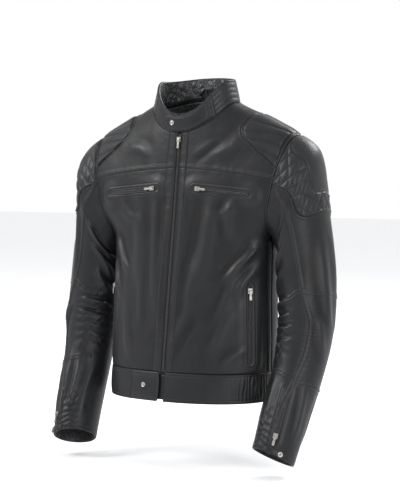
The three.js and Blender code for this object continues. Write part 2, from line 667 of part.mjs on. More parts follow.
// Slider and pull of one zip, seated in its frame, with their axes.
function addSlider(name, frame, chainTop, flangeDrop, facing, pair) {
  const put = pair ? addPair : add;
  const slider = seat(makeSlider(chainTop, flangeDrop), frame);
  const pull = seat(makePull(chainTop, facing), frame);
  const at = frame.origin.clone().addScaledVector(frame.along, PULL_X)
    .addScaledVector(frame.out, pullHeight(chainTop));
  put(`${name}_slider`, slider, BRIGHT_METAL);
  put(`${name}_pull`, pull, BRIGHT_METAL);
  const swing = frame.side.clone().multiplyScalar(-facing);
  if (pair) {
    pivotPair(`${name}_slider`, frame.origin.clone(), frame.along, false);
    pivotPair(`${name}_pull`, at, swing, true);
  } else {
    pivot(`${name}_slider`, frame.origin.clone(), frame.along);
    pivot(`${name}_pull`, at, swing);
  }
}

const MAIN_SLIDER_DROP = 9;

function makeMainZip() {
  const top = bodyPoint(0, NECK_LEVEL);
  const bottom = bodyPoint(0, BAND_LEVEL);
  const frame = frameOf(top, bottom.clone().sub(top), point(0, -1, 0));
  const length = bottom.distanceTo(top);
  const tapeTop = -LEATHER - 2 * GAP;
  const outline = [[GAP, tapeTop - TAPE], [TAPE_HALF, tapeTop - TAPE], [TAPE_HALF, tapeTop],
    [CHAIN_HALF, tapeTop], [CHAIN_HALF, MAIN_CHAIN_TOP], [GAP, MAIN_CHAIN_TOP]];
  for (const [name, side] of [['left', 1], ['right', -1]]) {
    const flip = Math.sign(frame.side.x) * side;
    const loops = [1, length - 1].map((x) => outline.map(([y, z]) => point(x, flip * y, z)));
    add(`main_zip_${name}`, seat(loft(loops), frame), TAPE_BLACK);
  }
  const start = frameOf(top.clone().addScaledVector(frame.along, MAIN_SLIDER_DROP), frame.along, frame.out);
  addSlider('main', start, MAIN_CHAIN_TOP, 2, 1, false);
}

// A straight zip in a raised welt that lies on a curved surface. curve(s, t) gives the surface
// under the welt, with s from 0 at the slider's end to 1 and t from -1 to 1 across it.
function makeWeltedZip(name, curve, outwards, stations, facing) {
  const start = curve(0, 0);
  const end = curve(1, 0);
  const length = start.distanceTo(end);
  const frame = frameOf(start, end.clone().sub(start), outwards);
  const samples = steps(40);
  const heights = [-1, 0, 1].map((t) => samples.map((s) => local(frame, curve(s, t))));
  const crown = Math.max(...heights.flat().map((spot) => spot.z));
  frame.origin.addScaledVector(frame.out, crown + GAP);
  const under = (line, x) => {
    const found = line.findIndex((spot) => spot.x >= x);
    const index = found < 0 ? line.length - 1 : Math.max(found, 1);
    const [a, b] = [line[index - 1], line[index]];
    return mix(a.z, b.z, (x - a.x) / (b.x - a.x)) - crown;
  };
  const lines = heights[0][20].y < heights[2][20].y ? heights : [...heights].reverse();
  const loops = steps(stations).map((share) => {
    const x = share * length;
    return [[-WELT_HALF, under(lines[0], x)], [0, under(lines[1], x)], [WELT_HALF, under(lines[2], x)],
      [WELT_HALF, WELT_TOP], [CHAIN_HALF, WELT_TOP], [CHAIN_HALF, POCKET_CHAIN_TOP],
      [-CHAIN_HALF, POCKET_CHAIN_TOP], [-CHAIN_HALF, WELT_TOP], [-WELT_HALF, WELT_TOP],
    ].map(([y, z]) => point(x, y, z));
  });
  addPair(name, seat(loft(loops), frame), TAPE_BLACK);
  const slider = frameOf(frame.origin.clone().addScaledVector(frame.along, 3), frame.along, frame.out);
  addSlider(name.replace('_zip', ''), slider, POCKET_CHAIN_TOP, 0.8, facing, true);
}

function makeBodyZips() {
  const chestTurn = (share) => (at) => bodyTurn(mix(CHEST_ZIP_INNER_X, CHEST_ZIP_OUTER_X, share), at);
  const chest = (s, t) => {
    const turn = chestTurn(s);
    const at = levelAt(turn, mix(CHEST_ZIP_INNER_HEIGHT, CHEST_ZIP_OUTER_HEIGHT, s) + t * WELT_HALF);
    return bodyPoint(turn(at), at);
  };
  makeWeltedZip('chest_zip', chest, bodyNormal(chestTurn(0.5)(5.5), 5.5), 8, 1);
  const midTurn = mix(HAND_ZIP_TOP_TURN, HAND_ZIP_LOW_TURN, 0.5);
  const middle = levelAt(always(midTurn), mix(HAND_ZIP_LOW_HEIGHT, HAND_ZIP_HIGH_HEIGHT, 0.5));
  const turnSpread = WELT_HALF / bodyPoint(midTurn + 1, middle).distanceTo(bodyPoint(midTurn, middle));
  const hand = (s, t) => {
    const turn = mix(HAND_ZIP_TOP_TURN, HAND_ZIP_LOW_TURN, s) + t * turnSpread;
    return bodyPoint(turn, levelAt(always(turn), mix(HAND_ZIP_HIGH_HEIGHT, HAND_ZIP_LOW_HEIGHT, s)));
  };
  makeWeltedZip('hand_zip', hand, bodyNormal(midTurn, middle), 8, 1);
}

// ---------- sleeves ----------

function sleevePatch(from, to, start, end) {
  return (u, v) => {
    const along = mix(start, end, v);
    const angle = mix(from(along), to(along), u);
    return { position: sleevePoint(angle, along), normal: sleeveNormal(angle, along) };
  };
}

const FRONT_SEAM = [80, 86, 84, 80, 78, 77, 78, 79, 80];
const BACK_SEAM = -100;
const frontSeam = (along) => smooth(FRONT_SEAM, along);

function makeSleeves() {
  const outerFrom = always(BACK_SEAM + SEAM_TURN);
  const outerTo = (along) => frontSeam(along) - SEAM_TURN;
  const innerFrom = (along) => frontSeam(along) + SEAM_TURN;
  const innerTo = always(360 + BACK_SEAM - SEAM_TURN);
  const upperEnd = ELBOW_TOP - SEAM_LEVEL;
  const foreStart = ELBOW_END + SEAM_LEVEL;
  const upperRows = steps(9);
  const foreRows = steps(4);
  const leather = (name, place, columns, rows) => addPair(name, patch(place, columns, rows, 0, -LEATHER), LEATHER_BLACK);
  leather('upper_sleeve_outer', sleevePatch(outerFrom, outerTo, 0, upperEnd), steps(9), upperRows);
  leather('upper_sleeve_inner', sleevePatch(innerFrom, innerTo, 0, upperEnd), steps(9), upperRows);
  leather('forearm_outer', sleevePatch(outerFrom, outerTo, foreStart, SLEEVE_END), steps(8), foreRows);
  leather('forearm_inner', sleevePatch(innerFrom, innerTo, foreStart, SLEEVE_END), steps(8), foreRows);
  makeElbow();
  pivotPair('shoulder', ARMHOLE_CENTRE, ARMHOLE_NORMAL.clone().negate(), true);
  const elbow = ARMHOLE_CENTRE.clone().add(point(54, -13, -UPPER_ARM_DROP * 0.95));
  pivotPair('elbow', elbow, point(-1, 0, 0), true);
}

// The soft elbow section, a closed tube, with the protector inside its outer back.
function makeElbow() {
  const turns = 18;
  const rows = 6;
  const loops = [0, -LEATHER].map((offset) => Array.from({ length: (rows + 1) * turns }, (_, index) => {
    const along = mix(ELBOW_TOP, ELBOW_END, Math.floor(index / turns) / rows);
    const angle = (index % turns) * 360 / turns;
    return sleevePoint(angle, along).addScaledVector(sleeveNormal(angle, along), offset);
  }));
  const count = loops[0].length;
  const triangles = [];
  const quad = (a, b, c, d) => triangles.push([a, b, c], [a, c, d]);
  for (let turn = 0; turn < turns; turn += 1) {
    const next = (turn + 1) % turns;
    for (let row = 0; row < rows; row += 1) {
      const [a, b, c, d] = [row * turns + turn, row * turns + next, (row + 1) * turns + next, (row + 1) * turns + turn];
      quad(a, b, c, d);
      quad(count + d, count + c, count + b, count + a);
    }
    const last = rows * turns;
    quad(next, turn, count + turn, count + next);
    quad(last + turn, last + next, count + last + next, count + last + turn);
  }
  addPair('elbow_panel', solid(loops.flat(), triangles), LEATHER_BLACK);
  const inner = -LEATHER - GAP;
  const rowAt = (row) => mix(ELBOW_TOP, ELBOW_END, row / rows);
  const protector = sleevePatch(always(-140), always(-40), rowAt(1), rowAt(5));
  addPair('elbow_protector', patch(protector, steps(5), steps(4), inner, inner - ARMOUR), FOAM_GREY);
}

const CUFF_ZIP_START = 7.52;
const CUFF_ZIP_END = 6.5;
const CUFF_TAB_START = 7.74;
const CUFF_TAB_END = 7.97;

function makeCuffs() {
  const near = sleevePoint(CUFF_ZIP_ANGLE, CUFF_ZIP_START);
  const angleSpread = WELT_HALF / near.distanceTo(sleevePoint(CUFF_ZIP_ANGLE + 1, CUFF_ZIP_START));
  makeWeltedZip('cuff_zip',
    (s, t) => sleevePoint(CUFF_ZIP_ANGLE + t * angleSpread, mix(CUFF_ZIP_START, CUFF_ZIP_END, s)),
    sleeveNormal(CUFF_ZIP_ANGLE, 7), 6, -1);
  const root = CUFF_ZIP_ANGLE + 24;
  const end = CUFF_ZIP_ANGLE - 34;
  const strap = patch(sleevePatch(always(end), always(root), CUFF_TAB_START, CUFF_TAB_END), steps(7), steps(2),
    GAP + STRAP, GAP);
  const middle = (CUFF_TAB_START + CUFF_TAB_END) / 2;
  const snapAngle = end + 12;
  const cap = disc(sleevePoint(snapAngle, middle), sleeveNormal(snapAngle, middle), GAP + STRAP - CAP_SEAT,
    SNAP_CAP_HEIGHT, SNAP_CAP_RADIUS);
  addPair('cuff_tab', join(strap, cap), TRIM_BLACK);
  const axis = sleevePoint(root, CUFF_TAB_END).sub(sleevePoint(root, CUFF_TAB_START)).normalize();
  pivotPair('cuff_tab', sleevePoint(root, middle).addScaledVector(sleeveNormal(root, middle), GAP + STRAP / 2),
    axis, true);
}

// ---------- inside ----------

const ARMHOLE_HEM = 12;
const CUTTER = 400;

// The lining follows the body just inside the leather and is open at both armholes.
function makeLining() {
  const edge = (at) => bodyTurn(TAPE_HALF + 3, at);
  const place = bodyPatch(always(0.2), always(9.9), edge, (at) => 360 - edge(at));
  const outer = -LEATHER - STRAP - 3 * NEST_ROOM;
  const share = (at) => (at - 0.2) / 9.7;
  const armholes = [share(ARMPIT_LEVEL), share(4.3), share(4.7), share(5.5), share(6.5)];
  const whole = patch(place, steps(24), steps(10, armholes), outer, outer - LINING);
  const openings = [1, -1].map((side) => {
    const hole = block([-ARMHOLE_HEM, -CUTTER, -ARMHOLE_HEM], [CUTTER, CUTTER, CUTTER]);
    const up = ARMHOLE_HALF.clone().normalize();
    const frame = frameOf(ARMPIT_POINT, ARMHOLE_NORMAL, up);
    const tool = seat(hole, frame);
    return side > 0 ? tool : mirrored(tool);
  });
  add('torso_lining', cut(whole, ...openings), LINING_BLACK);
  makeProtectors(outer - LINING - 3 * NEST_ROOM);
}

function makeProtectors(face) {
  const back = bodyPatch(always(1.7), always(5.6), always(150), always(210));
  add('back_protector', patch(back, steps(8), steps(6), face, face - ARMOUR), FOAM_GREY);
  const shoulder = bodyPatch(always(7.6), always(8.7), always(66), always(114));
  const under = face - GAP;
  addPair('shoulder_protector', patch(shoulder, steps(7), steps(3), under, under - ARMOUR), FOAM_GREY);
}

// An arch of leather sewn inside the back of the neck; the flat underside of its middle takes a peg.
function makeHangerLoop() {
  const feet = NECK_BACK_HEIGHT + 6;
  const under = feet + LOOP_RISE - LOOP_THICKNESS;
  const outline = new THREE.Shape();
  outline.moveTo(-LOOP_HALF_SPAN, feet);
  outline.lineTo(-LOOP_HALF_SPAN + LOOP_THICKNESS, feet);
  outline.lineTo(-LOOP_FLAT_HALF, under);
  outline.lineTo(LOOP_FLAT_HALF, under);
  outline.lineTo(LOOP_HALF_SPAN - LOOP_THICKNESS, feet);
  outline.lineTo(LOOP_HALF_SPAN, feet);
  outline.lineTo(LOOP_FLAT_HALF + 1, under + LOOP_THICKNESS);
  outline.lineTo(-LOOP_FLAT_HALF - 1, under + LOOP_THICKNESS);
  const rise = (feet - NECK_BACK_HEIGHT) / COLLAR_BACK_RISE;
  const turn = 180 - collarTurn(LOOP_HALF_SPAN);
  const wall = collarPoint(turn, rise).addScaledVector(collarNormal(turn, rise), -LEATHER - 2 * GAP - LINING).y;
  const geometry = new THREE.ExtrudeGeometry(outline, { depth: LOOP_WIDTH, bevelEnabled: false });
  geometry.rotateX(Math.PI / 2).translate(0, wall, 0);
  add('hanger_loop', geometry, TRIM_BLACK);
  return point(0, wall - LOOP_WIDTH / 2, under);
}

makeFronts();
makeYokes();
makeBack();
makeShoulderPatches();
makeWaistband();
makeCollar();
makeMainZip();
makeBodyZips();
makeSleeves();
makeCuffs();
makeLining();
const hangPoint = makeHangerLoop();

// The origin is the middle of the hanger loop's underside.
garment.position.copy(hangPoint).negate();
jacket.userData.pivots = Object.fromEntries(Object.entries(pivots).map(([name, { at, axis }]) =>
  [name, { at: at.clone().sub(hangPoint).toArray(), axis: axis.clone().normalize().toArray() }]));

export default jacket;
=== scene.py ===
"""Leather riding jacket: the leather, quilting, zips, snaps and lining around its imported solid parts."""

import math

import bpy
import numpy as np
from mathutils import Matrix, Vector


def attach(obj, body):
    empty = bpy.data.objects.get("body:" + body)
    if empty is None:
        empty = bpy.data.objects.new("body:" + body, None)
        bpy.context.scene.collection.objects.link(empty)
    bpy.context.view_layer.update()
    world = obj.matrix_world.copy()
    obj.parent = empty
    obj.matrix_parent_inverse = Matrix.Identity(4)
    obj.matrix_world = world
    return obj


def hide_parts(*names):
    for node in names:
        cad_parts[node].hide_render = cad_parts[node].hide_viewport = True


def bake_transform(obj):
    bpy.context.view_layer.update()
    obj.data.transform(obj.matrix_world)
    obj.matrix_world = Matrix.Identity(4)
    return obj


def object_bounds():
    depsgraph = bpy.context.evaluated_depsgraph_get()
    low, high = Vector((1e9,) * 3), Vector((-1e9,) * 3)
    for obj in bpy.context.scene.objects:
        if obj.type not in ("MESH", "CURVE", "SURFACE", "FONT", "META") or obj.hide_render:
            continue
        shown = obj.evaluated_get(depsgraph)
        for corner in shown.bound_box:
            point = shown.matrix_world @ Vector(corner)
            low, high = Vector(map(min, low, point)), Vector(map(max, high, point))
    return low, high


bl_info = {
    "name": "Leather riding jacket",
    "version": (1, 0, 0),
    "blender": (4, 5, 0),
    "location": "View3D > Sidebar > Jacket",
    "description": "Makes a leather riding jacket with quilted shoulders, zips, snaps and lining",
    "category": "Object",
}

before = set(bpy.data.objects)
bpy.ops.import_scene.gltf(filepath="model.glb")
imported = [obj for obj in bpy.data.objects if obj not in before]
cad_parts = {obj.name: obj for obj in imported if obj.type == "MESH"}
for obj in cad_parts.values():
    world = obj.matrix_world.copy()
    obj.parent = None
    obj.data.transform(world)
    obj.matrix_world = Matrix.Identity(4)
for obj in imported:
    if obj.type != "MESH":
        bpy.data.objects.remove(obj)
SOLID_BOX = [list(map(float, corner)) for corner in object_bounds()]
SIDES = (("left", 1), ("right", -1))

# ---------- sizes of the solid parts, in millimetres above the hem ----------

WAISTBAND = 62.0
ARMPIT = 337.0
SHOULDER = 560.0
NECK_FRONT_TOP = 565.0
NECK_SIDE_TOP = 628.0
NECK_BACK_TOP = 642.0
HEM_HALF = 191.0
WAIST_HALF = 190.0
CHEST_HALF = 192.0
SHOULDER_HALF = 240.0
NECK_HALF = 98.0
ARMHOLE_SPREAD = 1.24
HEM_FRONT = 138.0
NECK_FRONT = 62.0
HEM_BACK = 118.0
CHEST_BACK = 125.0
NECK_BACK = 78.0
COLLAR_TOP_HALF = 84.0
COLLAR_FRONT_RISE = 40.0
COLLAR_SIDE_RISE = 50.0
COLLAR_BACK_RISE = 44.0
COLLAR_LEAN = 2.0
BICEP_HALF = 57.0
CUFF_HALF = 44.0
UPPER_ARM = 302.0
FOREARM = 246.0
FOREARM_REACH = 100.0
CUFF_SLANT = 11.0
LEATHER = 2.6
LINING = 1.0
GAP = 0.3
SEAM_GAP = 0.12
ZIP_SLOT = 6.0
WELT_HALF = 6.5
CUFF_ZIP_ANGLE = 70.0
CUFF_ZIP_SPAN = (7.52, 6.5)
CUFF_TAB_SPAN = (7.74, 7.97)
ROUNDNESS = 2.25
SLEEVE_SPLIT = 3.4
SLEEVE_END = 8.0

# ---------- sizes of the sewn and metal detail, in millimetres ----------

STITCH_PITCH = 3.6
STITCH_LENGTH = 2.5
STITCH_RADIUS = 0.42
BAND_ROWS = (55.5, 7.0)
COLLAR_DEPTH = 46
COLLAR_ROWS = (4.2, 41.5)
PLACKET_X = 23.0
POCKET_SEAM_HALF = 11.4
COIL_PITCH = 1.55
TOOTH_PITCH = 3.3
ARMHOLE_HEM = 12.0
CUFF_LEVEL_LENGTH = 66
CLOTH_FRAMES = 16

# ---------- smooth curves and noise ----------


def smooth(values, at):
    """Curve through evenly spaced values that never overshoots them."""
    values = np.asarray(values, float)
    at = np.asarray(at, float)
    steps = np.diff(values)
    product = steps[:-1] * steps[1:]
    total = steps[:-1] + steps[1:]
    inner = np.where(product > 0, 2 * product / np.where(total == 0, 1, total), 0)
    slopes = np.concatenate([steps[:1], inner, steps[-1:]])
    index = np.clip(np.floor(at).astype(int), 0, len(values) - 2)
    t = at - index
    rise = steps[index]
    leave, arrive = slopes[index], slopes[index + 1]
    bend = t * (3 * rise - 2 * leave - arrive + t * (leave + arrive - 2 * rise))
    return values[index] + t * (leave + bend)


def ease(low, high, value):
    t = np.clip((value - low) / (high - low), 0, 1)
    return t * t * (3 - 2 * t)


def bell(value, width):
    return np.exp(-((value / width) ** 2))


def unit(vectors):
    return vectors / np.maximum(np.linalg.norm(vectors, axis=-1, keepdims=True), 1e-9)


def scattered(x, y, z, seed):
    mixed = (x * 374761393 + y * 668265263 + z * 1440662683 + seed * 974634777) & 0xFFFFFFFF
    mixed = ((mixed ^ (mixed >> 13)) * 1274126177) & 0xFFFFFFFF
    return ((mixed ^ (mixed >> 16)) & 0xFFFF) / 65535.0


def noise(points, size, seed=0):
    """Smooth repeatable noise from -1 to 1; size is in millimetres, one number or three."""
    cell = np.asarray(points, float) / np.asarray(size, float)
    base = np.floor(cell).astype(np.int64)
    t = cell - base
    t = t * t * (3 - 2 * t)
    total = 0
    for dx in (0, 1):
        for dy in (0, 1):
            for dz in (0, 1):
                weight = (t[..., 0] if dx else 1 - t[..., 0]) * (t[..., 1] if dy else 1 - t[..., 1])
                weight = weight * (t[..., 2] if dz else 1 - t[..., 2])
                corner = (base[..., 0] + dx, base[..., 1] + dy, base[..., 2] + dz)
                total = total + weight * scattered(*corner, seed)
    return total * 2 - 1


# ---------- the surfaces that the solid panels follow ----------


def mix(low, high, share):
    return low + (high - low) * share


def ring(half, front, side, back, reach, centre):
    return (half, front, side, back, reach, centre)


BODY_RINGS = np.array([
    ring(HEM_HALF, 0, 0, 0, HEM_BACK, 0),
    ring(HEM_HALF, WAISTBAND, WAISTBAND, WAISTBAND, HEM_BACK, 0),
    ring(mix(HEM_HALF, WAIST_HALF, 0.6), *[mix(WAISTBAND, ARMPIT, 0.32)] * 3, HEM_BACK + 1, 0),
    ring(WAIST_HALF, *[mix(WAISTBAND, ARMPIT, 0.66)] * 3, HEM_BACK + 2, 0),
    ring(CHEST_HALF, ARMPIT, ARMPIT, ARMPIT, CHEST_BACK, 0),
    ring(mix(CHEST_HALF, SHOULDER_HALF, 0.47) * ARMHOLE_SPREAD, mix(ARMPIT, NECK_FRONT_TOP, 0.307),
         mix(ARMPIT, SHOULDER, 0.395), mix(ARMPIT, NECK_BACK_TOP, 0.262), CHEST_BACK, 4),
    ring(mix(CHEST_HALF, SHOULDER_HALF, 0.86) * ARMHOLE_SPREAD, mix(ARMPIT, NECK_FRONT_TOP, 0.526),
         mix(ARMPIT, SHOULDER, 0.72), mix(ARMPIT, NECK_BACK_TOP, 0.46), CHEST_BACK - 3, 10),
    ring(SHOULDER_HALF, mix(ARMPIT, NECK_FRONT_TOP, 0.7), SHOULDER, mix(ARMPIT, NECK_BACK_TOP, 0.656),
         mix(CHEST_BACK, NECK_BACK, 0.28), 20),
    ring(mix(SHOULDER_HALF, NECK_HALF, 0.28), mix(ARMPIT, NECK_FRONT_TOP, 0.8),
         mix(SHOULDER, NECK_SIDE_TOP, 0.33), mix(ARMPIT, NECK_BACK_TOP, 0.744),
         mix(CHEST_BACK, NECK_BACK, 0.55), 20),
    ring(mix(SHOULDER_HALF, NECK_HALF, 0.635), mix(ARMPIT, NECK_FRONT_TOP, 0.9),
         mix(SHOULDER, NECK_SIDE_TOP, 0.68), mix(ARMPIT, NECK_BACK_TOP, 0.852),
         mix(CHEST_BACK, NECK_BACK, 0.76), 17),
    ring(NECK_HALF, NECK_FRONT_TOP, NECK_SIDE_TOP, NECK_BACK_TOP, NECK_BACK, 8),
])
BAND_LEVEL, ARMPIT_LEVEL, SHOULDER_LEVEL, NECK_LEVEL = 1, 4, 7, 10


def power(value):
    return np.sign(value) * np.abs(value) ** (2 / ROUNDNESS)


def ring_point(turn, half, front, reach, centre, high_front, high_side, high_back):
    sideways, forwards = np.sin(np.radians(turn)), np.cos(np.radians(turn))
    ahead = forwards > 0
    depth = np.where(ahead, front + centre, reach - centre)
    end = np.where(ahead, high_front, high_back)
    return np.stack([half * power(sideways), centre - depth * power(forwards),
                     mix(high_side, end, forwards * forwards)], -1)


def body_point(turn, level):
    turn, level = np.broadcast_arrays(np.asarray(turn, float), np.asarray(level, float))
    half, front, side, back, reach, centre = (smooth(BODY_RINGS[:, key], level) for key in range(6))
    return ring_point(turn, half, mix(HEM_FRONT, NECK_FRONT, front / NECK_FRONT_TOP), reach, centre,
                      front, side, back)


def collar_point(turn, rise):
    turn, rise = np.broadcast_arrays(np.asarray(turn, float), np.asarray(rise, float))
    half, reach = mix(NECK_HALF, COLLAR_TOP_HALF, rise), NECK_BACK + rise * COLLAR_LEAN
    return ring_point(turn, half, NECK_FRONT, reach,
                      BODY_RINGS[NECK_LEVEL, 5], NECK_FRONT_TOP + rise * COLLAR_FRONT_RISE,
                      NECK_SIDE_TOP + rise * COLLAR_SIDE_RISE, NECK_BACK_TOP + rise * COLLAR_BACK_RISE)


def turn_at(half, x):
    return np.degrees(np.arcsin((x / half) ** (ROUNDNESS / 2)))


def body_turn(x, level):
    return turn_at(smooth(BODY_RINGS[:, 0], level), x)


def collar_turn(x):
    return turn_at(mix(NECK_HALF, COLLAR_TOP_HALF, 0.5), x)


def bisect(value, low, high, shape):
    low, high = np.full(shape, float(low)), np.full(shape, float(high))
    for _ in range(36):
        middle = (low + high) / 2
        above = value(middle) > 0
        high = np.where(above, middle, high)
        low = np.where(above, low, middle)
    return (low + high) / 2


SHOULDER_POINT = body_point(90, SHOULDER_LEVEL)
ARMPIT_POINT = body_point(90, ARMPIT_LEVEL)
ARMHOLE_HALF = (SHOULDER_POINT - ARMPIT_POINT) / 2
ARMHOLE_NORMAL = unit(np.array([ARMHOLE_HALF[2], 0, -ARMHOLE_HALF[0]]))


def armhole_turn(level, edge, clearance):
    """Turn at which the body meets the armhole's plane, at its front or back edge."""
    level = np.asarray(level, float)

    def reach(turn):
        shown = turn if edge == "front" else 180 - turn
        return (body_point(shown, level) - SHOULDER_POINT) @ ARMHOLE_NORMAL + clearance

    found = bisect(reach, 15, 90, level.shape)
    return found if edge == "front" else 180 - found


def armhole_point(angle):
    angle = np.asarray(angle, float)
    level = mix(ARMPIT_LEVEL, SHOULDER_LEVEL, (1 + np.cos(np.radians(angle))) / 2)
    front = body_point(armhole_turn(level, "front", 0), level)
    back = body_point(armhole_turn(level, "back", 0), level)
    return np.where((np.sin(np.radians(angle)) >= 0)[..., None], front, back)


ARMHOLE_CENTRE = np.array([(SHOULDER_POINT[0] + ARMPIT_POINT[0]) / 2,
                           (armhole_point(90)[1] + armhole_point(-90)[1]) / 2,
                           (SHOULDER_POINT[2] + ARMPIT_POINT[2]) / 2])
CUFF_SHARE = CUFF_HALF / BICEP_HALF
SLEEVE_RINGS = [
    # centre from the armhole's centre, share of the armhole, share of the bicep, depth, slant
    ((25, 3, -UPPER_ARM * 0.08), 0.88, 0.4, 78, 0),
    ((37, 6, -UPPER_ARM * 0.28), 0.56, 0.6, 74, 0),
    ((46, 2, -UPPER_ARM * 0.55), 0.14, 0.95, 66, 0),
    ((54, -10, -UPPER_ARM * 0.84), 0, 1, 62, 0),
    ((55, -18, -UPPER_ARM), 0, 1, 60, 0),
    ((51, -18 - FOREARM_REACH * 0.22, -UPPER_ARM - FOREARM * 0.3), 0, mix(1, CUFF_SHARE, 0.4), 56, 0),
    ((41, -18 - FOREARM_REACH * 0.7, -UPPER_ARM - FOREARM * 0.73), 0, mix(1, CUFF_SHARE, 0.78), 52,
     CUFF_SLANT / 2),
    ((34, -18 - FOREARM_REACH, -UPPER_ARM - FOREARM), 0, CUFF_SHARE, 50, CUFF_SLANT),
]


def sleeve_rings(angle):
    """The sleeve's nine rings at each angle."""
    rings = [armhole_point(angle) + ARMHOLE_NORMAL * GAP]
    centres = np.array([entry[0] for entry in SLEEVE_RINGS], float)
    across, round_ = np.cos(np.radians(angle))[..., None], np.sin(np.radians(angle))[..., None]
    for index, (_, hole, bicep, depth, slant) in enumerate(SLEEVE_RINGS):
        down = unit(centres[min(index + 1, 7)] - centres[max(index - 1, 0)])
        lateral = ARMHOLE_HALF * hole + np.array([BICEP_HALF * bicep, 0, -slant])
        forward = unit(np.cross(down, lateral)) * depth
        rings.append(ARMHOLE_CENTRE + centres[index] + lateral * across + forward * round_)
    return np.stack(rings)


def sleeve_point(angle, along):
    """along is 0 at the armhole and 8 at the cuff; angle is 0 outside and 90 in front."""
    angle, along = np.broadcast_arrays(np.asarray(angle, float), np.asarray(along, float))
    shape = angle.shape
    angle, along = np.atleast_1d(angle).ravel(), np.atleast_1d(along).ravel()
    keys, where = np.unique(np.round(angle, 7), return_inverse=True)
    rings = sleeve_rings(keys)[:, where.reshape(-1)]
    index = np.clip(np.floor(along).astype(int), 0, 7)
    t = (along - index)[:, None]
    rows = np.arange(len(angle))
    a, b, c, d = (rings[np.clip(index + step, 0, 8), rows] for step in (-1, 0, 1, 2))
    found = b + 0.5 * t * (c - a + t * (2 * a - 5 * b + 4 * c - d + t * (3 * (b - c) + d - a)))
    return found.reshape(shape + (3,))


def hang_point():
    """The middle of the hanger loop's underside, which is the object's origin."""
    rise, turn = 6 / COLLAR_BACK_RISE, 180 - collar_turn(30)
    wall = COLLAR.base(turn, rise)
    y = (wall[0] + wall[1] * (-LEATHER - 2 * GAP - LINING))[1] - 4
    return np.array([0, y, NECK_BACK_TOP + 6 + 14 - 1.8])


# ---------- a skin: one of those surfaces with the relief that folds and seams give it ----------


class Skin:
    """A surface of two numbers, its outward normal, and the relief drawn on it."""

    def __init__(self, place, step_a, step_b, low_b, high_b):
        self.place = place
        self.step_a, self.step_b = step_a, step_b
        self.low_b, self.high_b = low_b, high_b
        self.layers = []

    def slopes(self, a, b):
        held = np.clip(b, self.low_b + self.step_b, self.high_b - self.step_b)
        along_a = (self.place(a + self.step_a, held) - self.place(a - self.step_a, held)) / (2 * self.step_a)
        along_b = (self.place(a, held + self.step_b) - self.place(a, held - self.step_b)) / (2 * self.step_b)
        return along_a, along_b

    def base(self, a, b):
        a, b = np.broadcast_arrays(np.asarray(a, float), np.asarray(b, float))
        along_a, along_b = self.slopes(a, b)
        return self.place(a, b), unit(np.cross(along_a, along_b))

    def relief(self, a, b, spot, out):
        return sum((layer(a, b, spot, out) for layer in self.layers), np.zeros(np.shape(a)))

    def lifted(self, a, b, lift=0.0):
        """Points on the skin as the folds leave it, raised by lift, and its base normals."""
        a, b = np.broadcast_arrays(np.asarray(a, float), np.asarray(b, float))
        spot, out = self.base(a, b)
        height = self.relief(a, b, spot, out) + lift
        return spot + out * height[..., None], out

    def shifted(self, a, b, aside):
        """The same line on the skin, moved aside by some millimetres."""
        spot, out = self.base(a, b)
        along = unit(np.gradient(spot, axis=0))
        side = np.cross(out, along) * aside
        along_a, along_b = self.slopes(a, b)
        aa, ab = np.sum(along_a * along_a, -1), np.sum(along_a * along_b, -1)
        bb = np.sum(along_b * along_b, -1)
        da, db = np.sum(side * along_a, -1), np.sum(side * along_b, -1)
        det = aa * bb - ab * ab
        return a + (da * bb - db * ab) / det, b + (db * aa - da * ab) / det


def path_field(spots, normals, path, near):
    """Signed distance from a path and the place along it, for points closer than near."""
    shape = spots.shape[:-1]
    spots, normals = spots.reshape(-1, 3), normals.reshape(-1, 3)
    signed, run = np.full(len(spots), 1e3), np.zeros(len(spots))
    low, high = path.min(0) - near, path.max(0) + near
    close = np.where(((spots > low) & (spots < high)).all(1))[0]
    if len(close):
        p, n = spots[close], normals[close]
        best, kept, place = np.full(len(p), 1e3), np.full(len(p), 1e3), np.zeros(len(p))
        passed = 0.0
        for start, end in zip(path[:-1], path[1:]):
            length = float(np.linalg.norm(end - start))
            if length < 1e-6:
                continue
            ahead = (end - start) / length
            t = np.clip((p - start) @ ahead, 0, length)
            off = p - start - t[:, None] * ahead
            away = np.linalg.norm(off, axis=1)
            side = np.sum(np.cross(n, ahead) * off, 1)
            nearer = away < best
            best = np.where(nearer, away, best)
            kept = np.where(nearer, np.where(side < 0, -away, away), kept)
            place = np.where(nearer, passed + t, place)
            passed += length
        signed[close], run[close] = kept, place
    return signed.reshape(shape), run.reshape(shape)


def seam_layer(skin, a, b, kind, width=8.0, height=0.9, seed=0):
    """Relief of one seam. Its strip lies on the side that the path keeps to its left."""
    path = skin.place(np.asarray(a, float), np.asarray(b, float))

    def layer(_a, _b, spots, normals):
        s, run = path_field(spots, normals, path, width + 20)
        pucker = 0.34 * noise(np.stack([run, s * 0, s * 0 + seed], -1), 7.0, seed) * bell(s - width / 2, 9)
        if kind == "strip":
            strip = height * (ease(-0.9, 0.7, s) - ease(width - 0.4, width + 1.4, s))
            rows = 0.45 * (bell(s - 1.9, 0.8) + bell(s - width + 1.9, 0.8))
            return strip - rows - 0.8 * bell(s + 0.9, 0.9) + pucker
        if kind == "beads":
            return height * (bell(s - 2.5, 1.5) + bell(s + 2.5, 1.5)) - 1.1 * bell(s, 1.1) + pucker
        return -height * bell(s, 1.2) + pucker * 0.6

    return layer


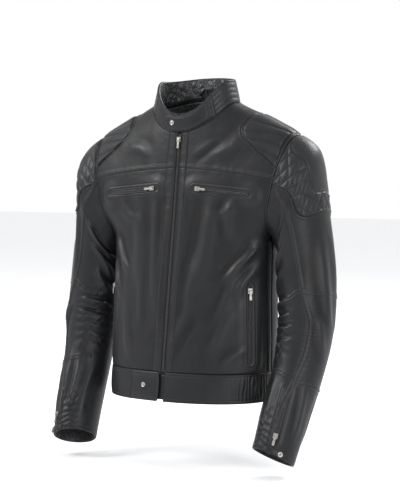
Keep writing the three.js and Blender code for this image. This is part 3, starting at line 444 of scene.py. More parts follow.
def fold_layer(folds, plane):
    """Soft folds, each a line with a width and a height, in the plane that plane() gives."""

    def layer(a, b, spots, normals):
        flat = plane(a, b, spots)
        total = np.zeros(flat.shape[:-1])
        for x0, y0, x1, y1, width, height in folds:
            start, reach = np.array([x0, y0], float), np.array([x1 - x0, y1 - y0], float)
            t = (flat - start) @ reach / (reach @ reach)
            side = flat - start - t[..., None] * reach
            wander = 0.35 * width * np.sin(t * 5 + x0)
            across = (side @ np.array([reach[1], -reach[0]])) / math.hypot(*reach)
            fade = ease(-0.05, 0.35, t) * (1 - ease(0.6, 1.05, t))
            s = (across + wander) / width
            total += height * fade * (np.exp(-s * s) - 0.6 * np.exp(-((s - 1.4) ** 2)))
        return total * FOLD_DEPTH

    return layer


# ---------- meshes ----------


def grid_faces(rows, cols, round_=False):
    r = np.arange(rows - 1)[:, None]
    c = np.arange(cols if round_ else cols - 1)[None, :]
    n = (c + 1) % cols
    return np.stack([r * cols + c, r * cols + n, (r + 1) * cols + n, (r + 1) * cols + c], -1).reshape(-1, 4)


def rim_quads(loop, layer, closed=True):
    nxt = np.roll(loop, -1)
    quads = np.stack([nxt, loop, loop + layer, nxt + layer], -1)
    return quads if closed else quads[:-1]


class Build:
    """Closed pieces of a mesh gathered in millimetres, made into one object at the end."""

    def __init__(self):
        self.verts, self.faces, self.marks, self.wear, self.count = [], [], [], [], 0

    def add(self, verts, faces, mark=0, wear=0.0):
        verts = np.asarray(verts, float).reshape(-1, 3)
        for block in faces:
            block = np.asarray(block, int)
            self.faces.append(block + self.count)
            self.marks.append(np.full(len(block), mark))
        self.verts.append(verts)
        self.wear.append(np.broadcast_to(np.asarray(wear, float).ravel(), (len(verts),)))
        self.count += len(verts)
        return self

    def shell(self, outer, inner, round_=False, marks=(0, 1), wear=0.0):
        """A sheet with an outside, an inside and a rim, from two grids of points."""
        rows, cols = outer.shape[:2]
        layer = rows * cols
        quads = grid_faces(rows, cols, round_)
        if round_:
            low = np.arange(cols)
            high = (np.arange(cols) + (rows - 1) * cols)[::-1]
            rims = [rim_quads(low, layer), rim_quads(high, layer)]
        else:
            c, r = np.arange(cols), np.arange(rows)
            loop = np.concatenate([c[:-1], r[:-1] * cols + cols - 1, (c[1:] + (rows - 1) * cols)[::-1],
                                   (r[1:] * cols)[::-1]])
            rims = [rim_quads(loop, layer)]
        verts = np.concatenate([outer.reshape(-1, 3), inner.reshape(-1, 3)])
        mark_list = [(quads, marks[0]), (quads[:, ::-1] + layer, marks[1])]
        mark_list += [(rim, marks[0]) for rim in rims]
        worn_and_shaded = np.broadcast_to(np.asarray(wear, float), (rows, cols)).ravel()
        start = self.count
        self.add(verts, [], wear=np.concatenate([worn_and_shaded, worn_and_shaded * 0]))
        for block, mark in mark_list:
            self.faces.append(block + start)
            self.marks.append(np.full(len(block), mark))
        return self

    def tube(self, path, outs, profile, scale=None, mark=0, closed=False, wear=0.0):
        """A profile of (side, up) points swept along a path."""
        path, outs = np.asarray(path, float), np.asarray(outs, float)
        ahead = unit(np.roll(path, -1, 0) - np.roll(path, 1, 0) if closed else np.gradient(path, axis=0))
        side = unit(np.cross(outs, ahead))
        up = unit(np.cross(ahead, side))
        profile = np.asarray(profile, float)
        size = np.ones(len(path)) if scale is None else np.asarray(scale, float)
        verts = (path[:, None] + side[:, None] * (profile[None, :, :1] * size[:, None, None])
                 + up[:, None] * (profile[None, :, 1:] * size[:, None, None]))
        count = len(profile)
        if closed:
            stations = len(path)
            r, c = np.arange(stations)[:, None], np.arange(count)[None, :]
            n, m = (c + 1) % count, (r + 1) % stations
            quads = np.stack([r * count + c, r * count + n, m * count + n, m * count + c], -1).reshape(-1, 4)
            return self.add(verts, [quads], mark, wear)
        quads = grid_faces(len(path), count, True)
        ends = [np.arange(count)[None, ::-1], (np.arange(count) + (len(path) - 1) * count)[None, :]]
        return self.add(verts, [quads, *ends], mark, wear)

    def scatter(self, template, faces, spots, xs, ys, zs, mark=0):
        """The same small piece at many places."""
        template = np.asarray(template, float)
        verts = (spots[:, None] + xs[:, None] * template[None, :, :1] + ys[:, None] * template[None, :, 1:2]
                 + zs[:, None] * template[None, :, 2:])
        offsets = np.arange(len(spots)) * len(template)
        return self.add(verts, [(np.asarray(block)[None] + offsets[:, None, None]).reshape(-1, len(block[0]))
                                for block in faces], mark)

    def make(self, name, materials, side=1, body=None, slot=None, replaces=(), blend=None):
        verts = np.concatenate(self.verts)
        if side < 0:
            verts = verts * np.array([-1, 1, 1])
        verts = (verts - ORIGIN) / 1000
        blocks = [block[:, ::-1] if side < 0 else block for block in self.faces]
        mesh = bpy.data.meshes.new(name)
        mesh.vertices.add(len(verts))
        mesh.vertices.foreach_set("co", verts.astype(np.float32).ravel())
        sizes = np.concatenate([np.full(len(block), block.shape[1]) for block in blocks])
        corners = np.concatenate([block.ravel() for block in blocks]).astype(np.int32)
        mesh.loops.add(len(corners))
        mesh.loops.foreach_set("vertex_index", corners)
        mesh.polygons.add(len(sizes))
        starts = np.concatenate([[0], np.cumsum(sizes)[:-1]]).astype(np.int32)
        mesh.polygons.foreach_set("loop_start", starts)
        mesh.polygons.foreach_set("material_index", np.concatenate(self.marks).astype(np.int32))
        mesh.polygons.foreach_set("use_smooth", np.ones(len(sizes), bool))
        mesh.update(calc_edges=True)
        mesh.attributes.new("wear", "FLOAT", "POINT").data.foreach_set(
            "value", np.concatenate(self.wear).astype(np.float32))
        mesh.validate()
        made = bpy.data.objects.new(name, mesh)
        bpy.context.scene.collection.objects.link(made)
        for material in materials:
            mesh.materials.append(material)
        if blend:
            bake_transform(made)
        elif body:
            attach(made, body)
        if replaces:
            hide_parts(*replaces)
        return made


def circle(radius, count=8, flat=1.0):
    turn = np.arange(count) * 2 * math.pi / count
    return np.stack([np.cos(turn) * radius, np.sin(turn) * radius * flat], -1)


def capsule(length, radius, flat=0.8, count=6):
    stations = [(-length / 2, 0.35), (-length / 2 + radius, 1), (length / 2 - radius, 1), (length / 2, 0.35)]
    loop = circle(radius, count, flat)
    verts = [[x, y * share, z * share] for x, share in stations for y, z in loop]
    quads = grid_faces(4, count, True)
    return verts, [quads, [list(range(count))[::-1]], [list(range(3 * count, 4 * count))]]


def chamfered_block(length, width, height, chamfer):
    """A small block whose top edges are bevelled, standing on z = 0."""
    x, y = length / 2, width / 2
    verts = []
    for z, inset in ((0, 0), (height - chamfer, 0), (height, chamfer)):
        verts += [[-x + inset, -y + inset, z], [x - inset, -y + inset, z], [x - inset, y - inset, z],
                  [-x + inset, y - inset, z]]
    return verts, [grid_faces(3, 4, True), [[3, 2, 1, 0]], [[8, 9, 10, 11]]]


def edge_fall(points, depth, width, sides="lrbt", round_=False):
    """How far a sheet's outside falls towards its edges, like folded leather."""
    total = np.zeros(points.shape[:2])
    across = np.linalg.norm(np.diff(points, axis=1), axis=-1)
    down = np.linalg.norm(np.diff(points, axis=0), axis=-1)
    from_left = np.concatenate([np.zeros((len(across), 1)), np.cumsum(across, 1)], 1)
    from_low = np.concatenate([np.zeros((1, down.shape[1])), np.cumsum(down, 0)], 0)
    for key, distance in (("l", from_left), ("r", from_left[:, -1:] - from_left), ("b", from_low),
                          ("t", from_low[-1:] - from_low)):
        if key in sides and not (round_ and key in "lr"):
            total += bell(distance, width)
    return depth * np.minimum(total, 1)


def resampled(skin, a, b, spacing):
    """The same line on a skin with points every so many millimetres."""
    a, b = np.asarray(a, float), np.asarray(b, float)
    fine = np.linspace(0, len(a) - 1, 40 * len(a))
    fa, fb = (np.interp(fine, np.arange(len(a)), v) for v in (a, b))
    spots = skin.place(fa, fb)
    run = np.concatenate([[0], np.cumsum(np.linalg.norm(np.diff(spots, axis=0), axis=1))])
    count = max(int(run[-1] / spacing), 3)
    wanted = np.linspace(0, run[-1], count + 1)
    return np.interp(wanted, run, fa), np.interp(wanted, run, fb)


def stitch(build, skin, a, b, asides, lift=0.25, pitch=STITCH_PITCH, mark=0, keep=None):
    """Rows of stitches beside a line on a skin."""
    template, faces = capsule(STITCH_LENGTH, STITCH_RADIUS)
    for aside in asides:
        ra, rb = resampled(skin, a, b, pitch)
        ra, rb = skin.shifted(ra, rb, aside)
        if keep is not None:
            held = keep(ra, rb)
            ra, rb = ra[held], rb[held]
        if len(ra) < 3:
            continue
        spots, outs = skin.lifted(ra, rb, lift)
        ahead = unit(np.gradient(spots, axis=0))
        side = unit(np.cross(outs, ahead))
        build.scatter(template, faces, spots, ahead, side, unit(np.cross(ahead, side)), mark)


# ---------- materials ----------


class Shade:
    """A socket of a material, so that shader maths reads as arithmetic."""

    def __init__(self, paint, socket):
        self.paint, self.socket = paint, socket

    def _math(self, operation, first, second):
        return self.paint.node("ShaderNodeMath", {"operation": operation}, {0: first, 1: second})

    def __add__(self, other):
        return self._math("ADD", self, other)

    __radd__ = __add__

    def __sub__(self, other):
        return self._math("SUBTRACT", self, other)

    def __rsub__(self, other):
        return self._math("SUBTRACT", other, self)

    def __mul__(self, other):
        return self._math("MULTIPLY", self, other)

    __rmul__ = __mul__

    def held(self):
        """The value kept between 0 and 1."""
        return self.paint.node("ShaderNodeClamp", {}, {0: self})


class Paint:
    """A material being made, with one Principled shader."""

    def __init__(self, name):
        self.material = bpy.data.materials.new(name)
        self.material.use_nodes = True
        self.tree = self.material.node_tree
        self.tree.nodes.clear()
        self.place = Shade(self, self.tree.nodes.new("ShaderNodeTexCoord").outputs["Object"])

    def node(self, kind, settings, inputs, output=0):
        made = self.tree.nodes.new(kind)
        for key, value in settings.items():
            if key == "stops":
                stops = made.color_ramp.elements
                for index, (position, level) in enumerate(value):
                    stop = stops[index] if index < 2 else stops.new(position)
                    stop.position, stop.color = position, (level, level, level, 1)
            else:
                setattr(made, key, value)
        for key, value in inputs.items():
            if isinstance(value, Shade):
                self.tree.links.new(value.socket, made.inputs[key])
            else:
                made.inputs[key].default_value = value
        return Shade(self, made.outputs[output])

    def noise(self, size, detail=3.0, rough=0.55, place=None):
        """Soft noise; size is the width of its lumps in millimetres."""
        return self.node("ShaderNodeTexNoise", {}, {"Vector": place or self.place, "Scale": 1000 / size,
                                                    "Detail": detail, "Roughness": rough}, "Fac")

    def cells(self, size, feature="F1", place=None):
        output = "Distance"
        return self.node("ShaderNodeTexVoronoi", {"feature": feature},
                         {"Vector": place or self.place, "Scale": 1000 / size}, output)

    def stretched(self, x, y, z):
        return self.node("ShaderNodeVectorMath", {"operation": "MULTIPLY"}, {0: self.place, 1: (x, y, z)})

    def worn_and_shaded(self):
        return self.node("ShaderNodeAttribute", {"attribute_name": "wear"}, {}, "Fac")

    def blend(self, low, high, share):
        return self.node("ShaderNodeMix", {"data_type": "RGBA"}, {0: share, 6: (*low, 1), 7: (*high, 1)}, 2)

    def bump(self, height, depth, strength=1.0, under=None):
        """depth is in millimetres."""
        inputs = {"Height": height, "Distance": depth / 1000, "Strength": strength}
        if under:
            inputs["Normal"] = under
        return self.node("ShaderNodeBump", {}, inputs, "Normal")

    def finish(self, **inputs):
        shader = self.node("ShaderNodeBsdfPrincipled", {}, {key.replace("_", " "): value
                                                            for key, value in inputs.items()}, "BSDF")
        output = self.tree.nodes.new("ShaderNodeOutputMaterial")
        self.tree.links.new(shader.socket, output.inputs["Surface"])
        return self.material


def leather(name, dark, light, rough=0.44, grain=1.5, depth=0.10, coat=0.04):
    p = Paint(name)
    pebbles = p.cells(grain)
    creases = p.cells(grain * 4.6, "DISTANCE_TO_EDGE")
    fine = p.noise(grain * 0.6, 4)
    broad = p.noise(42, 4, 0.6)
    wear = p.worn_and_shaded()
    # The colour mixes random broad and fine tone with a mesh attribute: it lightens raised folds, seams and
    # rubbed trims as wear, and darkens grooves, fold hollows and quilting channels as painted shade.
    tone = (broad * 0.9 - 0.1 + fine * 0.25 + wear * 0.8).held()
    roughness = (rough - 0.08) + broad * 0.13 + pebbles * 0.10 - wear * 0.10
    low = p.bump(p.noise(9, 3, 0.5), 0.22, 0.6)
    mid = p.bump((creases * 6).held(), 0.06, 0.7, low)
    top = p.bump(1 - pebbles + fine * 0.35, depth, 0.9, mid)
    return p.finish(Base_Color=p.blend(dark, light, tone), Roughness=roughness, Coat_Weight=coat,
                    Coat_Roughness=0.36, Specular_IOR_Level=0.2, Normal=top)


def satin(name, dark, light, rough=0.4, crinkle=0.6):
    p = Paint(name)
    weave = p.noise(0.7, 2, 0.5, p.stretched(1, 1, 5))
    lines = p.cells(11, "DISTANCE_TO_EDGE", p.stretched(1, 1, 0.45))
    soft = p.noise(16, 5, 0.65)
    # The same soft noise raises the crinkles and lightens the colour, so the light colour is a painted sheen
    # on the crinkle tops and the dark colour is painted shade in their hollows.
    tone = (soft * 1.3 - 0.3 + weave * 0.25).held()
    low = p.bump(soft + (lines * 4).held() * 0.35, crinkle * 3, 0.9)
    return p.finish(Base_Color=p.blend(dark, light, tone), Roughness=rough + weave * 0.12 + soft * 0.1,
                    Sheen_Weight=0.25, Sheen_Roughness=0.4, Normal=p.bump(weave, 0.08, 0.8, low))


def woven(name, dark, light, pitch=0.8):
    p = Paint(name)
    warp = p.node("ShaderNodeTexWave", {"bands_direction": "DIAGONAL"},
                  {"Vector": p.place, "Scale": 300 / pitch, "Distortion": 1.5, "Detail": 2.0}, "Fac")
    lint = p.noise(1.4, 4)
    tone = (warp * 0.6 + lint * 0.5).held()
    return p.finish(Base_Color=p.blend(dark, light, tone), Roughness=0.82 + lint * 0.12,
                    Sheen_Weight=0.2, Normal=p.bump(warp + lint * 0.5, 0.12, 0.9))


def metal(name, dark, light, rough=0.22):
    p = Paint(name)
    smear = p.noise(5, 4, 0.6)
    scratch = p.noise(0.5, 3, 0.6, p.stretched(1, 1, 9))
    return p.finish(Base_Color=p.blend(dark, light, (smear * 1.2 - 0.1).held()), Metallic=1.0,
                    Roughness=rough + smear * 0.12 + scratch * 0.1, Normal=p.bump(scratch, 0.02, 0.6))


def foam(name, dark, light):
    p = Paint(name)
    holes = p.cells(7.0)
    skin = p.noise(1.2, 4)
    # The colour darkens in the same cells where the bump sinks into pores, which is painted shade in the
    # pores.
    tone = (holes * 0.9 + skin * 0.2).held()
    return p.finish(Base_Color=p.blend(dark, light, tone), Roughness=0.8 + skin * 0.15,
                    Normal=p.bump((holes * 3).held() + skin * 0.15, 0.9, 0.8))


# ---------- the skins with their seams and folds ----------

COLLAR = Skin(collar_point, 0.5, 0.02, 0.0, 1.0)
ORIGIN = hang_point()
YOKE_CENTRE = 492.0
YOKE_ARMHOLE = 468.0
FRONT_FOLDS = {
    1: [(24, 490, 13, 200, 8, 1.5), (99, 440, 50, 205, 17, 3.0), (182, 345, 118, 240, 9, 3.0),
        (184, 300, 140, 205, 8, 2.4), (186, 325, 150, 290, 6, 1.6), (150, 290, 106, 140, 11, 2.0),
        (160, 215, 96, 90, 11, 1.6), (64, 190, 28, 75, 12, -1.6), (150, 555, 70, 515, 15, 1.6),
        (110, 540, 36, 505, 9, -1.3), (150, 420, 90, 380, 12, 1.4), (172, 120, 120, 68, 8, 1.5),
        (120, 430, 140, 330, 13, 1.8), (60, 330, 42, 150, 9, 1.1)],
    -1: [(50, 470, 30, 140, 11, 2.2), (104, 432, 70, 220, 15, 2.2), (174, 350, 112, 262, 9, 2.8),
         (180, 300, 136, 210, 8, 2.2), (130, 210, 90, 76, 11, 1.7), (140, 545, 66, 512, 13, 1.6),
         (150, 420, 100, 370, 12, 1.4), (24, 400, 18, 120, 8, 1.2), (80, 300, 60, 120, 9, 1.1)],
}
BACK_FOLDS = [(150, 420, 60, 330, 14, 2.2), (-150, 430, -50, 350, 14, 2.0), (170, 330, 90, 200, 13, 2.4),
              (-175, 320, -80, 210, 13, 2.4), (120, 200, 40, 90, 12, 1.8), (-110, 210, -30, 80, 12, 1.8),
              (60, 540, 10, 380, 16, 1.4), (-70, 530, -20, 400, 16, 1.4), (180, 240, 120, 120, 9, 1.8),
              (-180, 250, -130, 110, 9, 1.8)]
SLEEVE_FOLDS = {
    1: [(98, 95, 150, 200, 8, 2.8), (104, 150, 165, 235, 8, 2.6), (100, 60, 140, 120, 7, 2.0),
        (110, 215, 170, 265, 8, 2.2), (95, 262, 170, 300, 7, 2.4), (92, 305, 160, 330, 7, 2.4),
        (88, 350, 150, 362, 7, 2.2), (85, 392, 150, 395, 7, 1.8), (22, 165, 6, 345, 13, 2.2),
        (-20, 175, -30, 360, 16, 1.8), (40, 300, 10, 420, 10, 1.8), (-70, 130, -100, 240, 12, 2.0),
        (30, 445, 22, 540, 9, 1.6), (120, 440, 104, 535, 9, 1.6), (-60, 400, -110, 470, 10, 2.0),
        (-140, 280, -100, 330, 8, 2.0), (170, 430, 150, 540, 10, 1.4), (-30, 440, -50, 540, 10, 1.4)],
    -1: [(100, 90, 156, 190, 9, 2.8), (104, 160, 168, 250, 8, 2.6), (112, 228, 175, 280, 8, 2.4),
         (96, 285, 168, 312, 7, 2.4), (92, 340, 158, 352, 7, 2.2), (70, 110, 48, 260, 10, 2.2),
         (30, 160, 16, 330, 14, 2.0), (60, 300, 40, 400, 9, 2.0), (84, 430, 76, 540, 8, 1.8),
         (110, 440, 100, 540, 8, 1.8), (50, 440, 46, 540, 9, 1.6), (-20, 180, -34, 350, 15, 1.8),
         (-70, 140, -100, 260, 12, 2.0), (150, 440, 134, 540, 9, 1.4), (-60, 410, -100, 470, 10, 1.8)],
}
FRONT_SEAM = [(80, 0.02), (89, 0.26), (99, 0.74), (99, 1.4), (91, 2.0), (84, 2.62), (73, 3.58), (62, 4.03),
              (55, 4.6), (54, 4.96), (55, 5.62), (60, 6.0), (70, 6.45), (81, 6.9), (83, 7.5), (83, 7.98)]
BACK_SEAM = [(-100, 0.02), (-100, 7.98)]
ELBOW_TOP_SEAM = [(-100, 3.98), (-60, 3.7), (-20, 3.62), (20, 3.6), (73, 3.58), (96, 3.73), (127, 3.84)]
ELBOW_LOW_SEAM = [(-100, 6.2), (-60, 6.3), (0, 6.32), (31, 6.31), (69, 6.26), (105, 6.18), (130, 6.14)]
DEEP_DOWN = 72.0
PATCH_TURNS = [49, 46, 46.5, 52, 66, 90, 112, 123, 125, 122, 120]
PATCH_LEVELS = [6.2, 7.0, 7.9, 8.5, 8.8, 8.9, 8.8, 8.6, 8.1, 7.3, 6.25]
FOLD_DEPTH = 1.7


def yoke_level(share):
    centre = bisect(lambda at: body_point(0, at)[..., 2] - YOKE_CENTRE, 0.1, 6.99, ())
    armhole = bisect(lambda at: body_point(armhole_turn(at, "front", 0), at)[..., 2] - YOKE_ARMHOLE,
                     0.1, 6.99, ())
    return mix(centre, armhole, share)


def side_edge(level, edge, clearance=GAP):
    seam = 90 - SEAM_GAP if edge == "front" else 90 + SEAM_GAP
    cut = armhole_turn(level, edge, clearance)
    inside = (level > ARMPIT_LEVEL) & (level < SHOULDER_LEVEL)
    return np.where(inside, np.minimum(cut, seam) if edge == "front" else np.maximum(cut, seam), seam)


class ZipFrame:
    """A straight zip seated over a curved skin."""

    def __init__(self, curve, outwards):
        start, end = curve(np.array(0.0), 0.0), curve(np.array(1.0), 0.0)
        self.length = float(np.linalg.norm(end - start))
        self.along = unit(end - start)
        self.out = unit(outwards - self.along * (outwards @ self.along))
        self.side = np.cross(self.out, self.along)
        share = np.linspace(0, 1, 41)
        tops = [((curve(share, t) - start) @ self.out).max() for t in (-1.0, 0.0, 1.0)]
        self.origin = start + self.out * (max(tops) + GAP)

    def at(self, x, y, z):
        x, y, z = np.broadcast_arrays(*(np.asarray(v, float) for v in (x, y, z)))
        return self.origin + x[..., None] * self.along + y[..., None] * self.side + z[..., None] * self.out

    def local(self, spots):
        away = spots - self.origin
        return away @ self.along, away @ self.side, away @ self.out

    def away(self, spots):
        """Distance from the zip's line within its plane."""
        x, y, _ = self.local(spots)
        return np.hypot(x - np.clip(x, 0, self.length), y)


def level_at(turn_of, height):
    return bisect(lambda at: body_point(turn_of(at), at)[..., 2] - height, 0.1, 6.99, np.shape(height))


def chest_curve(share, t):
    def turn_of(at):
        return body_turn(mix(48.0, 172.0, share), at)
    at = level_at(turn_of, mix(447.0, 436.0, share) + t * WELT_HALF)
    return body_point(turn_of(at), at)


def hand_curve(share, t):
    middle = level_at(lambda at: 62.5, np.array(165.0))
    spread = WELT_HALF / np.linalg.norm(body_point(63.5, middle) - body_point(62.5, middle))
    turn = mix(61.0, 64.0, share) + t * spread
    at = level_at(lambda at: turn, mix(243.0, 87.0, share))
    return body_point(turn, at)


def cuff_curve(share, t):
    near = sleeve_point(CUFF_ZIP_ANGLE, CUFF_ZIP_SPAN[0])
    spread = WELT_HALF / np.linalg.norm(near - sleeve_point(CUFF_ZIP_ANGLE + 1, CUFF_ZIP_SPAN[0]))
    return sleeve_point(CUFF_ZIP_ANGLE + t * spread, mix(*CUFF_ZIP_SPAN, share))


BODY = Skin(body_point, 0.5, 0.02, 0.0, 10.0)
SLEEVE = Skin(sleeve_point, 0.5, 0.02, 0.0, 8.0)
CHEST_ZIP = ZipFrame(chest_curve, BODY.base(body_turn(110.0, 5.5), 5.5)[1])
HAND_ZIP = ZipFrame(hand_curve, BODY.base(62.5, 2.2)[1])
CUFF_ZIP = ZipFrame(cuff_curve, SLEEVE.base(CUFF_ZIP_ANGLE, 7.0)[1])


def pocket_layer(zip_frame, reach, drop=0.35):
    """The leather is drawn up flat to a zip, with a pressed ridge and a stitched groove round it."""

    def layer(a, b, spots, normals):
        _, _, height = zip_frame.local(spots)
        away = zip_frame.away(spots)
        facing = np.maximum(normals @ zip_frame.out, 0.3)
        near = (1 - ease(8.5, reach, away)) * (normals @ zip_frame.out > 0.2)
        pull = np.where(away < reach, (-height - drop) / facing, 0)
        ridge = 0.9 * bell(away - 9.2, 1.6) - 0.5 * bell(away - 12.0, 0.9)
        return pull * near + ridge * (away < 16)

    return layer


def ripple_layer(a, b, spots, normals):
    """Broad unevenness of hanging leather."""
    broad, middle = 0.75 * noise(spots, (46, 46, 70), 3), 0.3 * noise(spots, (17, 17, 26), 5)
    return broad + middle + 0.1 * noise(spots, 7, 8)


def yoke_line():
    share = np.linspace(0, 1, 30)
    level = yoke_level(share)
    turn = mix(body_turn(ZIP_SLOT, level), armhole_turn(level, "front", GAP), share)
    return turn, level


def placket_line():
    level = np.linspace(1.02, 9.95, 60)
    return body_turn(PLACKET_X, level), level


def side_line():
    level = np.linspace(1.01, ARMPIT_LEVEL, 30)
    return np.full(30, 85.5), level


def patch_spot(angle_share, share):
    """Turn and level on the shoulder patch; the first share runs from front to back."""
    angle = mix(64.0, -64.0, angle_share)
    level = np.minimum(mix(ARMPIT_LEVEL, SHOULDER_LEVEL, (1 + np.cos(np.radians(angle))) / 2), 6.999)
    cut = np.where(angle >= 0, armhole_turn(level, "front", GAP), armhole_turn(level, "back", GAP))
    along = angle_share * 10
    turn = mix(cut, smooth(PATCH_TURNS, along), share)
    return turn, mix(level, smooth(PATCH_LEVELS, along), share)


def patch_border():
    return patch_spot(np.linspace(0.005, 0.995, 60), 1.05)


def back_yoke_line():
    return np.linspace(118, 242, 50), 7.15 - 0.35 * np.sin(np.radians(np.linspace(118, 242, 50) - 90)) ** 8


def back_princess_line(sign):
    level = np.linspace(1.02, 7.0, 50)
    return 180 + sign * (29 + 5 * np.sin(level * 0.5)), level


def cap_along(angle):
    """How far down the sleeve the quilted cap reaches at each angle."""
    return 0.10 + 2.10 * (1 - np.minimum(np.abs(angle / 84.0), 1) ** 5) ** 0.34


def cap_border():
    angle = 83.9 * np.sin(np.linspace(-math.pi / 2, math.pi / 2, 90))
    return angle[::-1], cap_along(angle[::-1])


def elbow_ease_layer(a, b, spots, normals):
    """Fine gathers beside the front seam over the elbow, and creases in its bend."""
    down = b * DEEP_DOWN
    wander = noise(np.stack([a / 9, down / 26, a * 0], -1), 1.0, 11)
    gathers = 0.75 * np.sin(down * 0.72 + wander * 2.6) * (0.55 + 0.45 * wander)
    beside = bell(a - 44, 13) + 0.8 * bell(a - 68, 9)
    over = ease(3.5, 4.2, b) * (1 - ease(5.7, 6.5, b))
    bend = 1.1 * np.sin(down * 0.30 + wander * 2.2) * bell(np.abs((a + 180) % 360 - 180 - 130), 34)
    cuff = 0.9 * np.sin(down * 0.5 + a * 0.09 + wander * 3) * ease(6.6, 7.2, b) * bell(a - 108, 22)
    return gathers * beside * over + bend * ease(3.2, 4.0, b) * (1 - ease(5.4, 6.4, b)) + cuff


def armhole_layer(a, b, spots, normals):
    """The sleeve head rises fully from its seam, with short gathers."""
    from_seam = b * 60
    gathers = 0.5 * np.sin(np.radians(a) * 26 + 2 * np.sin(np.radians(a) * 5)) * bell(from_seam - 6, 9)
    return 1.6 * ease(0, 9, from_seam) - 1.2 + gathers * 0.5


def body_skin(side):
    skin = Skin(body_point, 0.5, 0.02, 0.0, 10.0)
    skin.layers += [
        ripple_layer,
        fold_layer(FRONT_FOLDS[side], lambda a, b, spots: spots[..., [0, 2]]),
        seam_layer(skin, *yoke_line(), "strip", 8.5, 1.5, 1),
        seam_layer(skin, *placket_line(), "strip", 15.0, 1.3, 2),
        seam_layer(skin, *side_line(), "beads", 6.0, 1.3, 3),
        seam_layer(skin, *patch_border(), "beads", 5.0, 0.9, 4),
        pocket_layer(CHEST_ZIP, 34),
        pocket_layer(HAND_ZIP, 34),
    ]
    return skin


def back_skin():
    skin = Skin(body_point, 0.5, 0.02, 0.0, 10.0)
    turn, level = patch_border()
    skin.layers += [
        ripple_layer,
        fold_layer(BACK_FOLDS, lambda a, b, spots: spots[..., [0, 2]]),
        seam_layer(skin, *back_yoke_line(), "strip", 8.5, 1.5, 5),
        seam_layer(skin, *back_princess_line(1), "beads", 6.0, 1.3, 6),
        seam_layer(skin, *back_princess_line(-1), "beads", 6.0, 1.3, 7),
        seam_layer(skin, turn, level, "beads", 5.0, 0.9, 8),
        seam_layer(skin, 360 - turn[::-1], level[::-1], "beads", 5.0, 0.9, 9),
    ]
    return skin


def sleeve_skin(side):
    skin = Skin(sleeve_point, 0.5, 0.02, 0.0, 8.0)

    def flat(a, b, spots):
        turned = (a + 180) % 360 - 180
        return np.stack([turned, b * DEEP_DOWN], -1)

    seams = [(FRONT_SEAM, "strip", 7.5), (BACK_SEAM, "beads", 6.0), (ELBOW_TOP_SEAM, "beads", 5.5),
             (ELBOW_LOW_SEAM, "beads", 5.5)]
    skin.layers += [ripple_layer, fold_layer(SLEEVE_FOLDS[side], flat), elbow_ease_layer, armhole_layer,
                    pocket_layer(CUFF_ZIP, 22)]
    for seed, (line, kind, width) in enumerate(seams):
        a, b = drawn(line)
        skin.layers.append(seam_layer(skin, a, b, kind, width, 1.5, 20 + seed))
    skin.layers.append(seam_layer(skin, *cap_border(), "beads", 6.0, 1.5, 30))
    return skin


def drawn(line, count=60):
    """A smooth line through a few places on a skin."""
    line = np.asarray(line, float)
    at = np.linspace(0, len(line) - 1, count if len(line) > 2 else 40)
    return smooth(line[:, 0], at), smooth(line[:, 1], at)


SKINS = {("body", side): body_skin(side) for _, side in SIDES}
SKINS["back"] = back_skin()
SKINS.update({("sleeve", side): sleeve_skin(side) for _, side in SIDES})
SHOULDER_BLEND = {side: tuple(tuple((point * np.array([side, 1, 1]) - ORIGIN) / 1000)
                              for point in (ARMHOLE_CENTRE, ARMHOLE_CENTRE + ARMHOLE_NORMAL * 45))
                  for _, side in SIDES}
ELBOW = np.array([270.0, -63.3, -498.6])
ELBOW_BLEND = {side: tuple(tuple((ELBOW + np.array([0, -0.2, -1.0]) * step) * np.array([side, 1, 1]) / 1000)
                           for step in (-52, 52)) for _, side in SIDES}


def sleeve_blend(side_name, side, upper):
    if upper:
        return ("root", f"upper_sleeve_{side_name}", *SHOULDER_BLEND[side])
    return (f"upper_sleeve_{side_name}", f"forearm_{side_name}", *ELBOW_BLEND[side])


# ---------- finishes ----------

FINISHES = {}


def finish(name):
    """Each material is made once, from the colours in the panel."""
    if not FINISHES:
        look = bpy.context.scene.jacket_look
        dark, light = tuple(look.leather_dark), tuple(look.leather_light)
        pale = tuple(c * 1.25 for c in light)
        FINISHES.update(
            leather=leather("cowhide", dark, light),
            trim=leather("trim_leather", dark, pale, 0.42, 1.2, 0.08, 0.05),
            quilted=leather("quilted_leather", dark, pale, 0.43, 1.2, 0.09, 0.05),
            lining=satin("lining_satin", tuple(look.lining_dark), tuple(look.lining_light)),
            crinkled=satin("collar_satin", tuple(look.lining_dark), tuple(look.lining_light), 0.26, 1.5),
            thread=woven("thread", dark, pale, 0.5),
            tape=woven("zip_tape", (0.006, 0.006, 0.007), (0.02, 0.02, 0.022)),
            steel=metal("gunmetal", (0.03, 0.03, 0.032), (0.11, 0.108, 0.104), 0.3),
            bright=metal("antique_nickel", (0.16, 0.155, 0.145), (0.5, 0.49, 0.46), 0.2),
            foam=foam("protector_foam", tuple(look.foam), tuple(c * 2 for c in look.foam)),
        )
    return FINISHES[name]


# ---------- leather panels ----------


def spread(count):
    """Places from 0 to 1, closer together near both ends."""
    t = np.linspace(0, 1, count)
    return mix(t, (1 - np.cos(math.pi * t)) / 2, 0.5)


def panel(skin, turn, level, edges="lrbt", fall=1.1, soft=1.4, lift=0.0, under=-LEATHER):
    """The outside and inside of a leather panel on a skin, and a colour value for each point from its
    relief: lighter on raised folds and seams as rubbed wear, darker in grooves and fold hollows as painted
    shade.
    """
    turn, level = np.broadcast_arrays(turn, level)
    spot, out = skin.base(turn, level)
    height = skin.relief(turn, level, spot, out)
    top = np.maximum(height - edge_fall(spot, fall, soft, edges), -1.7) + lift
    # The third value is the relief scaled: positive on ridges as rubbed wear, negative in grooves and fold
    # hollows, where it paints shade into the leather colour.
    return spot + out * top[..., None], spot + out * under, np.clip(height * 0.4, -0.7, 0.8)


